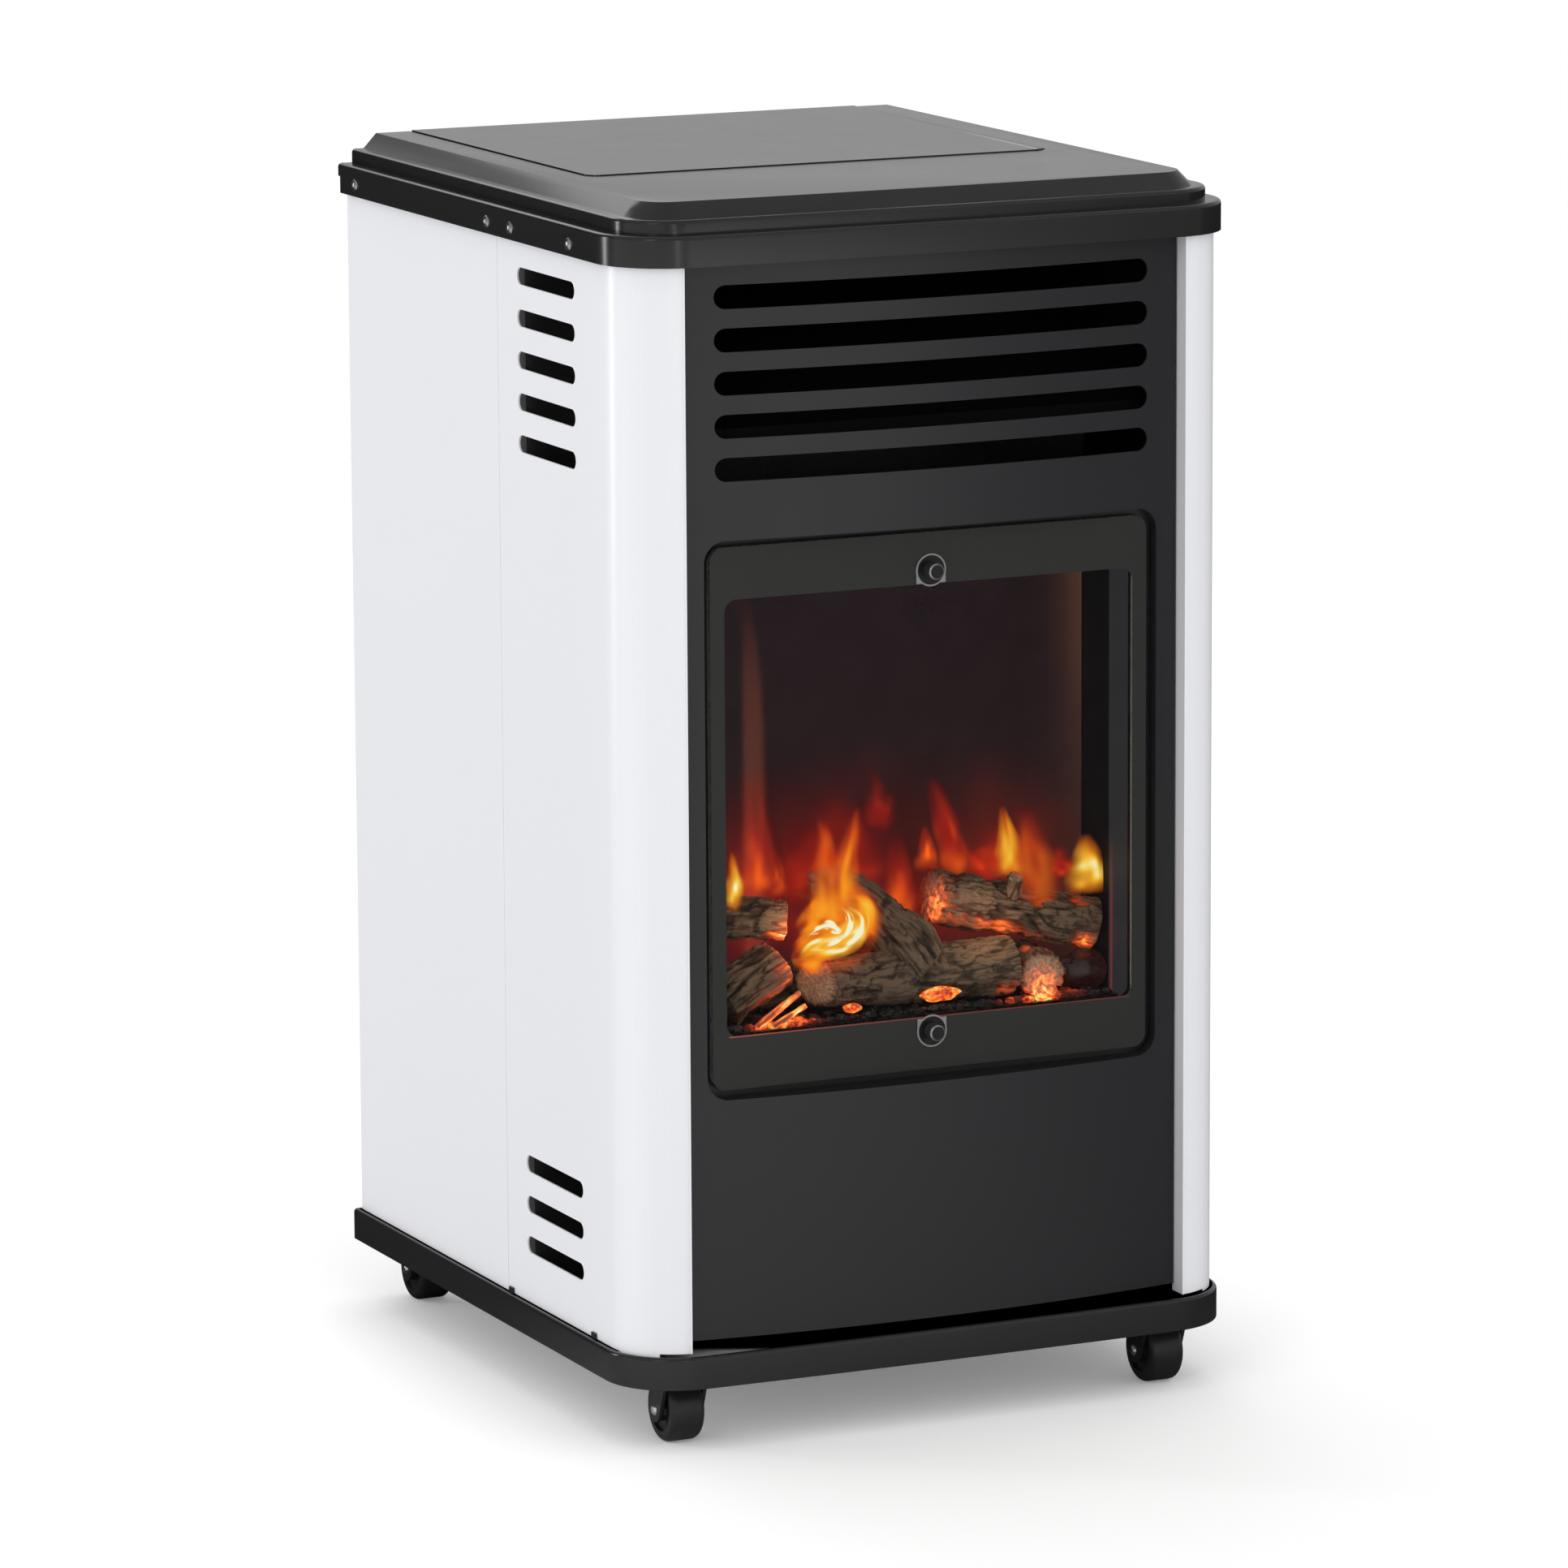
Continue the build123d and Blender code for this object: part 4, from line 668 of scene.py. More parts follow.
def make_floor():
    """A pale floor that is white to the camera and keeps the soft shadow under the object.

    In mirrors it runs from pale at the front left to dark at the back and right.
    """
    size = FLOOR_REACH
    points = np.array([(-size, -size, 0), (size, -size, 0), (size, size, 0), (-size, size, 0)])
    floor = link(bpy.data.objects.new("floor", surface("floor", points, [(0, 1, 2, 3)], smooth=False)))
    material, shader = principled("floor_paper", (FLOOR_TONE,) * 3, Roughness=0.9,
                                  Specular_IOR_Level=0.0, Emission_Color=(1, 1, 1, 1))
    ray = add_node(material, "ShaderNodeLightPath").outputs
    shades = []
    for direction, *span in FLOOR_SHADES:
        run = worked(material, "DOT_PRODUCT", object_place(material), direction, kind="ShaderNodeVectorMath")
        shades.append(mapped(material, run, *span, interpolation_type="SMOOTHSTEP"))
    tone = blend_by(material, ray["Is Glossy Ray"], FLOOR_TONE, worked(material, "MULTIPLY", *shades))
    connect(material, tone, shader.inputs["Base Color"])
    lift = blend_by(material, ray["Is Camera Ray"], 0.0, FLOOR_LIFT)
    connect(material, lift, shader.inputs["Emission Strength"])
    floor.data.materials.append(material)


class HEATER_OT_stage(bpy.types.Operator):
    """Set up the floor, the soft lights and the camera"""

    bl_idname = "heater.stage"
    bl_label = "Stage"

    def execute(self, context):
        context.scene.view_settings.view_transform = "Standard"
        set_camera()
        set_world()
        make_floor()
        for lamp in LAMPS:
            area_light(*lamp)
        for lamp in FIRE_LAMPS:
            fire_light(*lamp)
        return {"FINISHED"}


# ------------------------------------------------------------------ cabinet


class HEATER_OT_panels(bpy.types.Operator):
    """Dress the white pillars and side panels"""

    bl_idname = "heater.panels"
    bl_label = "White panels"

    def execute(self, context):
        for side in ("left", "right"):
            dressed(f"front_pillar_{side}", "white_enamel", bevel=sizes().edge)
            dressed(f"rear_panel_{side}", "white_enamel", bevel=sizes().edge)
        return {"FINISHED"}


class HEATER_OT_cover(bpy.types.Operator):
    """Dress the stepped cover, its flap, the screws, the base skirt and its clips"""

    bl_idname = "heater.cover"
    bl_label = "Cover and base"

    def execute(self, context):
        dressed("top_cover", "black_cover", angle=38, bevel=0.0009, segments=3)
        dressed("control_flap", "black_cover", bevel=0.0006, merge=False)
        dressed("cover_screws", "screw_steel", angle=50)
        dressed("base_skirt", "black_cover", bevel=0.0006)
        dressed("base_clips", "black_plastic", bevel=0.0003)
        return {"FINISHED"}


PANEL_HALF, PANEL_BOW = 164.0, 12.0
SEAT_HALF, SEAT_BOTTOM, SEAT_TOP = 152.0, 205.0, 556.0
SEAT_REACH = 0.4
# Guessed plates beside the duct, near black: painted shade that keeps the lit inside of the pillars out of
# the slots.
SHADE_PLATE_SPAN = ((150.0, 151.0), (-202.0, -112.0), (536.0, 607.0))
BOX_FACES = [(0, 1, 3, 2), (4, 6, 7, 5), (0, 4, 5, 1), (1, 5, 7, 3), (3, 7, 6, 2), (2, 6, 4, 0)]


class HEATER_OT_front(bpy.types.Operator):
    """Dress the bowed front panel with a lip round the window's seat, the duct behind its slots, and
    near-black plates beside the duct as painted shade
    """

    bl_idname = "heater.front"
    bl_label = "Front panel"

    def execute(self, context):
        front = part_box("front_panel")[0].y / MM
        radius = (PANEL_HALF ** 2 + PANEL_BOW ** 2) / (2 * PANEL_BOW)
        share = sizes().edge / sizes().lip

        def rim_share(middle):
            at_seat = abs(middle.x) < SEAT_HALF and SEAT_BOTTOM < middle.z < SEAT_TOP
            reach = math.hypot(middle.x, middle.y - front - radius)
            return 1.0 if at_seat and abs(reach - radius) < SEAT_REACH else share

        panel = dressed("front_panel", "black_panel", bevel=sizes().lip, segments=3, rims=rim_share)
        true_bow(panel, radius, front + radius)
        dressed("flue_deflector", "duct_black", bevel=0.0003)
        # Near-black plates beside the duct: painted shade for the slots.
        x, y, z = SHADE_PLATE_SPAN
        for side, name in ((-1, "left"), (1, "right")):
            ends = np.array([(side * a, b, c) for c in z for b in y for a in x])
            plate = outward(surface(f"slot_shade_plate_{name}", ends * MM, BOX_FACES, smooth=False))
            new_piece(plate, "duct_black")
        return {"FINISHED"}


# ------------------------------------------------------------------ window

CLEAR_HALF, CLEAR_BOTTOM, CLEAR_TOP, CLEAR_CORNER = 135.5, 248.5, 513.0, 8.0
PRINT_MARGIN, PRINT_CORNER = 0.6, 8.4
# Depths of the print and of a painted glint along its lower edge, then the glint's size, place and fade.
PRINT_BACK, PRINT_FRONT, GLINT_FRONT = 0.02, 0.12, 0.14
GLINT_HALF, GLINT_LOW, GLINT_HIGH = 134, 0.3, 0.5
GLINT_START, GLINT_FADE, GLINT_LEAST = -120, 90, 0.3


def round_rectangle(half_width, bottom, top, radius, steps=10):
    """Points (x, z) in millimetres round a rectangle with arcs at its corners."""
    quarter = np.linspace(0, math.pi / 2, steps)
    loops = []
    for turn, (sx, z) in enumerate(((1, top), (-1, top), (-1, bottom), (1, bottom))):
        angle = quarter + turn * math.pi / 2
        cx = sx * (half_width - radius)
        cz = z - radius if z == top else z + radius
        loops.append(np.stack([cx + radius * np.cos(angle), cz + radius * np.sin(angle)], 1))
    return np.concatenate(loops)


def flat_ring(name, outer, inner, front, back):
    """A flat ring between two closed outlines, from one depth to another, in millimetres."""
    n = len(outer)
    rows = [(outer, front), (inner, front), (inner, back), (outer, back), (outer, front)]
    points = [np.stack([o[:, 0], np.full(n, y), o[:, 1]], 1) for o, y in rows]
    return outward(surface(name, np.array(points) * MM, grid_faces(len(rows), n, wrap=True), smooth=False))


def painted_edge_glint(y):
    """A painted glint: a thin warm line, shone out as emission, for the fire's light caught along the lower
    edge of the print, brightest at the left.

    Tone = colour * (0.3 + 0.7 * exp(-(x - start) / fade)), and even to the left of the start.
    """
    x = np.linspace(-GLINT_HALF, GLINT_HALF, 60)
    z = np.array([CLEAR_BOTTOM - GLINT_LOW, CLEAR_BOTTOM + GLINT_HIGH])
    strip = np.stack(np.broadcast_arrays(x[None, :], y, z[:, None]), -1)
    past = np.clip(x - GLINT_START, 0, None)
    fade = GLINT_LEAST + (1 - GLINT_LEAST) * np.exp(-past / GLINT_FADE)
    tones = fade[None, :, None] * np.array([0.3, 0.075, 0.055]) + np.zeros((2, 1, 1))
    return surface("border_edge_painted_glint", strip * MM, grid_faces(2, len(x)), tones=tones)


class HEATER_OT_window(bpy.types.Operator):
    """Make the glass, its printed border, the washers and the studs"""

    bl_idname = "heater.window"
    bl_label = "Window"

    def execute(self, context):
        glass_low, glass_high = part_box("window_glass")
        front = glass_low.y / MM
        half, bottom, top = glass_high.x / MM, glass_low.z / MM, glass_high.z / MM
        dressed("window_glass", "window_glass", bevel=0.0005)
        outer = round_rectangle(half - PRINT_MARGIN, bottom + PRINT_MARGIN, top - PRINT_MARGIN, PRINT_CORNER)
        inner = round_rectangle(CLEAR_HALF, CLEAR_BOTTOM, CLEAR_TOP, CLEAR_CORNER)
        border = flat_ring("window_border", outer, inner, front - PRINT_FRONT, front - PRINT_BACK)
        new_piece(border, "window_print")
        # A painted glint of firelight along the print's lower edge, shone out as emission.
        new_piece(painted_edge_glint(front - GLINT_FRONT), "soot_and_painted_glow")
        dressed("glass_washers", "dished_steel", bevel=0.0002)
        dressed("glass_studs", "stud_steel", angle=20)
        dressed("glass_gasket", "fibre_rope")
        return {"FINISHED"}


# ------------------------------------------------------------------ fire

BED_TOP = 248.0
LOGS = {
    # start, end, radius at each, seed, flare at the start, slant of the start's cut, bow upwards
    "log_front_trunk": ((-71, -179, 270), (66, -173.5, 268.3), 15.0, 20.0, 11, 0.0, 0.55, 0.0),
    "log_front_branch": ((8.4, -177.6, 270.9), (-51, -140, 329), 17.5, 16.0, 12, 4.0, 0.0, 6.0),
    "log_right_long": ((23, -149, 311.4), (129, -166, 286.9), 17.5, 16.5, 13, 0.0, 0.3, 0.0),
    "log_right_short": ((84, -187, 263.5), (88, -150, 263.5), 15.2, 15.2, 14, 0.0, 0.0, 0.0),
    "log_left_low": ((-124, -173, 263.2), (-87, -172, 284), 17.0, 16.0, 15, 0.0, 0.0, 0.0),
    "log_left_high": ((-128, -149, 311.6), (-79, -165, 308.1), 14.0, 13.5, 16, 0.0, 0.0, 0.0),
    "log_back_low": ((-108, -140, 263.3), (14, -138, 263.3), 15.0, 15.0, 17, 0.0, 0.0, 0.0),
    "log_right_knot": ((74, -158, 300), (74.5, -170, 321), 7.5, 6.5, 18, 2.0, 0.0, 0.0),
    "ember_stick_long": ((-108, -190.5, 250.0), (-80, -187, 267), 2.6, 2.2, 19, 0.0, 0.0, 0.0),
    "ember_stick_short": ((-98, -191.5, 249.5), (-77, -189, 259), 2.4, 2.0, 20, 0.0, 0.0, 0.0),
}
LOG_NODES = {
    "log_front_trunk": ("log_forked",), "log_right_long": ("logs_right",),
    "log_left_low": ("logs_left",), "log_back_low": ("log_back",),
}
GLOW_SPOTS = [
    # centre, size, strength
    ((-57, -178, 300), 19, 1.0), ((-75, -184, 291), 11, 0.9), ((-40, -176, 306), 14, 0.7),
    ((24, -158, 313), 12, 0.62), ((21, -158, 303), 11, 0.62), ((38, -166, 295), 6, 0.6),
    ((52, -167, 292), 6, 0.8), ((65, -168, 288), 7, 1.2), ((76, -169, 283), 6, 0.9),
    ((88, -171, 276), 7, 0.8), ((98, -173, 270), 6, 0.6), ((130, -168, 273), 12, 0.9),
    ((118, -174, 279), 6, 0.7), ((82, -190, 252), 9, 1.0), ((84, -189, 260), 13, 0.5),
    ((-80, -166, 308), 10, 0.5), ((-80, -177, 290), 11, 0.95), ((-79, -174, 306), 10, 0.8),
    ((-92, -190, 258), 13, 0.95), ((-86, -184, 277), 8, 0.65), ((-110, -176, 299), 6, 0.8),
    ((-105, -191, 251), 8, 0.7), ((-82, -190, 258), 8, 0.8), ((10, -150, 300), 14, 0.4),
    ((120, -165, 300), 9, 0.4), ((-20, -158, 305), 10, 0.3), ((-71, -190, 258), 8, 0.45),
    ((60, -190, 255), 8, 0.5), ((104, -186, 254), 7, 0.4),
]
EMBER_PIECES = [
    # centre, half sizes, glow
    ((13, -190, 258.5), (12.5, 4.0, 4.2), 0.86), ((-46, -191, 255.5), (6.0, 3.0, 2.6), 0.7),
    ((118, -172, 260), (16.0, 10.0, 12.0), 0.03),
]
BARK_CELLS = (
    # length and girth of a plate, width and depth of the cracks between plates
    (24.0, 8.0, 0.28, 0.6), (12.0, 4.2, 0.36, 0.42), (5.0, 2.2, 0.6, 0.24),
)
CRACK_SWING = 2.4
FORK_PLACE, FORK_WIDTH = 0.16, 0.15
SLANT_SPAN = 45
GRAIN_SHARE = 0.16
LOG_STEP, LOG_GIRTH_STEP = 0.75, 0.8
CUT_RINGS = (0.97, 0.85, 0.68, 0.5, 0.32, 0.16, 0.0)


def bell(value, centre, size):
    """1 at the centre, and 1 / e at one size away from it."""
    return np.exp(-(((value - centre) / size) ** 2))


def lattice(rng, rows, columns):
    return rng.random((rows, columns))


def cell_noise(values, u, v):
    """Smooth noise: random lattice values joined with s = f*f*(3 - 2f); wraps along v."""
    rows, columns = values.shape
    i, j = np.floor(u).astype(int), np.floor(v).astype(int)
    fu, fv = u - i, v - j
    fu, fv = fu * fu * (3 - 2 * fu), fv * fv * (3 - 2 * fv)
    i0, i1 = np.clip(i, 0, rows - 1), np.clip(i + 1, 0, rows - 1)
    j0, j1 = j % columns, (j + 1) % columns
    low = values[i0, j0] * (1 - fv) + values[i0, j1] * fv
    high = values[i1, j0] * (1 - fv) + values[i1, j1] * fv
    return low * (1 - fu) + high * fu


def bark_height(rng, length, radius, along, angle):
    """Height from 0 to 1: plates parted by cracks.

    A crack runs where |2n - 1| of smooth noise, stretched along the log and bent by more
    noise, is small. Three sizes are laid over each other, the widest one the deepest.
    """
    girth = angle / (2 * math.pi)
    height = np.ones_like(along)
    for cell_long, cell_round, width, depth in BARK_CELLS:
        cells = max(int(length / cell_long), 1)
        columns = max(int(2 * math.pi * radius / cell_round), 4)
        swing = cell_noise(lattice(rng, cells + 3, columns), along * cells, girth * columns)
        bent = (girth * columns + CRACK_SWING * swing) % columns
        value = cell_noise(lattice(rng, cells + 3, columns), along * cells, bent)
        crack = np.clip(np.abs(2 * value - 1) / width, 0, 1)
        height -= depth * (1 - crack * crack * (3 - 2 * crack))
    return np.clip(height, 0, 1)


def glow_at(points):
    """Sum of round warm spots: strength * exp(-(distance / size)^2)."""
    glow = np.zeros(points.shape[:-1])
    for centre, size, strength in GLOW_SPOTS:
        gap = np.linalg.norm(points - np.array(centre, float), axis=-1)
        glow += strength * np.exp(-((gap / size) ** 2))
    return glow


def cut_end(rng, edge, grain, angle, outwards):
    """The rough flat end inside a ring of points: smaller and smaller copies of the ring.

    Point = centre + share * (edge - centre), pushed out by 0.4 + 1.1 * noise. Returns the
    points, their grain places, how bare of bark they are and their height.
    """
    share = np.array(CUT_RINGS)[:, None]
    rough = cell_noise(lattice(rng, 9, 12), share * 7 + 0 * angle, angle[None, :] / (2 * math.pi) * 12)
    push = 0.4 + 1.1 * rough * (share > 0) - 0.8 * (share == CUT_RINGS[0])
    centre = edge.mean(axis=0)
    points = centre + (edge - centre) * share[..., None] + push[..., None] * outwards
    inwards = np.broadcast_to(share, rough.shape)
    grain = grain * np.stack([inwards, inwards, np.ones_like(rough)], -1)
    bare = np.clip((0.93 - inwards) * 8, 0, 1)
    height = 0.45 + 0.5 * rough * np.abs(np.sin(share * 26))
    return points, grain, bare, height


def log_mesh(name, start, end, start_radius, end_radius, seed, flare, slant, bow):
    """A log: circles of radius r(t) + bark height, closed by rough flat ends.

    Point = start + t * (end - start) + r * (cos(a) * side + sin(a) * lift), and it
    widens by flare * exp(-((t - 0.16) / 0.15)^2) where a branch grows out of its trunk.
    The middle rises by bow * 4 t (1 - t), and a slanted cut moves the start on by
    slant * r * (1 + cos(a)).
    """
    rng = np.random.default_rng(seed)
    start, end = np.array(start, float), np.array(end, float)
    length = np.linalg.norm(end - start)
    axis = (end - start) / length
    side = np.cross(axis, (0, 0, 1.0))
    side /= np.linalg.norm(side)
    lift = np.cross(side, axis)
    rows = int(length / LOG_STEP) + 2
    columns = int(2 * math.pi * max(start_radius, end_radius) / LOG_GIRTH_STEP)
    t = np.linspace(0, 1, rows)[:, None] + np.zeros(columns)
    a = np.linspace(0, 2 * math.pi, columns, endpoint=False)[None, :] + np.zeros((rows, 1))
    height = bark_height(rng, length, start_radius, t, a)
    depth = min(sizes().bark_depth / MM, 0.35 * start_radius)
    lump = cell_noise(lattice(rng, 8, 5), t * 5, a / (2 * math.pi) * 5) - 0.5
    radius = start_radius + (end_radius - start_radius) * t + flare * bell(t, FORK_PLACE, FORK_WIDTH)
    radius = radius * (1 + 0.1 * lump) - depth * (1 - height) - 0.02 * radius
    skin = start + t[..., None] * (end - start)
    skin = skin + radius[..., None] * (np.cos(a)[..., None] * side + np.sin(a)[..., None] * lift)
    skin = skin + (bow * 4 * t * (1 - t))[..., None] * lift
    near = np.clip(1 - t * length / SLANT_SPAN, 0, 1)
    skin = skin + (near * slant * radius * (1 + np.cos(a)))[..., None] * axis
    grain = np.stack([radius * np.cos(a), radius * np.sin(a), t * length * GRAIN_SHARE], -1)
    first = [part[::-1] for part in cut_end(rng, skin[0], grain[0], a[0], -axis)]
    last = cut_end(rng, skin[-1], grain[-1], a[0], axis)
    middle = (skin, grain, np.zeros((rows, columns)), height)
    points, grain, bare, height = (np.concatenate(parts) for parts in zip(first, middle, last))
    glow = glow_at(points) * (0.45 + 0.75 * (1 - height))
    values = {"height": 0.5 * height - 0.12, "cut": bare, "glow": np.clip(glow, 0, 1)}
    faces = grid_faces(len(points), columns, wrap=True)
    return outward(surface(name, points * MM, faces, values=values, grain=grain))


class HEATER_OT_logs(bpy.types.Operator):
    """Make the ceramic logs with their bark, cut ends and embers"""

    bl_idname = "heater.logs"
    bl_label = "Logs"

    def execute(self, context):
        for name, form in LOGS.items():
            new_piece(log_mesh(name, *form), "bark", LOG_NODES.get(name, ()))
        return {"FINISHED"}


EDGE_COALS, EDGE_HALF, LOOSE_COALS = 46, 127, 60
LAYER_BACK = 14


def ball(rows, columns):
    """Points (sin p cos q, sin p sin q, cos p) on a unit ball, and their angles p and q."""
    polar = np.linspace(0, math.pi, rows)[:, None] + np.zeros(columns)
    turn = np.linspace(0, 2 * math.pi, columns, endpoint=False)[None, :] + np.zeros((rows, 1))
    unit = np.stack([np.sin(polar) * np.cos(turn), np.sin(polar) * np.sin(turn), np.cos(polar)], -1)
    return unit, polar, turn


def lump_mesh(name, lumps, seed):
    """Coals: balls pushed by size * (1 + noise / 2), each flattened a little."""
    rng = np.random.default_rng(seed)
    rows, columns = 9, 12
    unit, _, _ = ball(rows, columns)
    points, faces, glow = [], [], []
    base = grid_faces(rows, columns, wrap=True)
    for i, (x, y, z, size) in enumerate(lumps):
        rough = 1 + 0.5 * (rng.random((rows, columns)) - 0.5)
        rough[0], rough[-1] = rough[0, 0], rough[-1, 0]
        form = unit * rough[..., None] * size * np.array([1.15, 0.9, 0.75])
        form = form + np.array([x, y, z])
        points.append(form.reshape(-1, 3))
        faces.append(base + i * rows * columns)
        glow.append(glow_at(form).ravel() * (0.5 + 0.9 * rng.random()))
    mesh = surface(name, np.concatenate(points) * MM, np.concatenate(faces), smooth=False,
                   values={"glow": np.clip(np.concatenate(glow), 0, 1)})
    return outward(mesh)


def ember_mesh(name, centre, half, glow, seed):
    """A glowing lump: a ball pushed by 0.85 + 0.3 * noise, hottest where it bulges."""
    rng = np.random.default_rng(seed)
    unit, polar, turn = ball(30, 48)
    down, about = polar / math.pi, turn / (2 * math.pi)
    rough = cell_noise(lattice(rng, 7, 8), down * 6, about * 8)
    fine = cell_noise(lattice(rng, 17, 20), down * 16, about * 20)
    push = 0.85 + 0.3 * rough + 0.1 * fine
    heat = glow * (0.62 + 0.5 * rough + 0.3 * (fine - 0.5))
    for value in (push, heat):
        value[0], value[-1] = value[0].mean(), value[-1].mean()
    points = np.array(centre, float) + unit * push[..., None] * np.array(half, float)
    faces = grid_faces(*push.shape, wrap=True)
    return outward(surface(name, points * MM, faces, values={"glow": np.clip(heat, 0, 1)}))


def ember_layer(rng, low, high):
    """The uneven top of the ember bed: two sizes of noise, warmest in the hollows."""
    rows, columns = 60, 180
    x = np.linspace(low[0], high[0], columns)[None, :] + np.zeros((rows, 1))
    y = np.linspace(low[1], high[1] - LAYER_BACK, rows)[:, None] + np.zeros(columns)
    rough = cell_noise(lattice(rng, 24, 60), (y - low[1]) / 3.4, (x - low[0]) / 5.0)
    fine = cell_noise(lattice(rng, 60, 150), (y - low[1]) / 1.4, (x - low[0]) / 2.0)
    points = np.stack([x, y, BED_TOP - 1.0 + 0.9 * rough + 0.5 * fine], -1)
    glow = np.clip(glow_at(points) * 1.3 * (1.2 - rough), 0, 1)
    return surface("ember_layer", points * MM, grid_faces(rows, columns), values={"glow": glow})


def coal_places(rng, front):
    """Centres and sizes of the small coals: a row along the front edge, then loose ones."""
    coals = []
    for i in range(EDGE_COALS):
        size = 2.1 + 1.6 * rng.random()
        x = -EDGE_HALF + i * 2 * EDGE_HALF / (EDGE_COALS - 1) + rng.uniform(-1.5, 1.5)
        coals.append((x, front + 3.5 + rng.uniform(0, 2.5), BED_TOP + size * 0.5, size))
    for _ in range(LOOSE_COALS):
        size = 2.0 + 2.2 * rng.random()
        coals.append((rng.uniform(-122, 122), rng.uniform(-188, -145), BED_TOP + size * 0.4, size))
    return coals


class HEATER_OT_embers(bpy.types.Operator):
    """Make the ember bed and the coals on it"""

    bl_idname = "heater.embers"
    bl_label = "Embers"

    def execute(self, context):
        low, high = (np.array(c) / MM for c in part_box("ember_bed"))
        rng = np.random.default_rng(5)
        new_piece(ember_layer(rng, low, high), "coal_black")
        dressed("ember_bed", "coal_black")
        for i, form in enumerate(EMBER_PIECES):
            new_piece(ember_mesh(f"ember_{i + 1}", *form, seed=60 + i), "coal_black")
        coals = lump_mesh("coals", coal_places(rng, low[1]), seed=8)
        new_piece(coals, "coal_black", ("coal_pieces",))
        return {"FINISHED"}


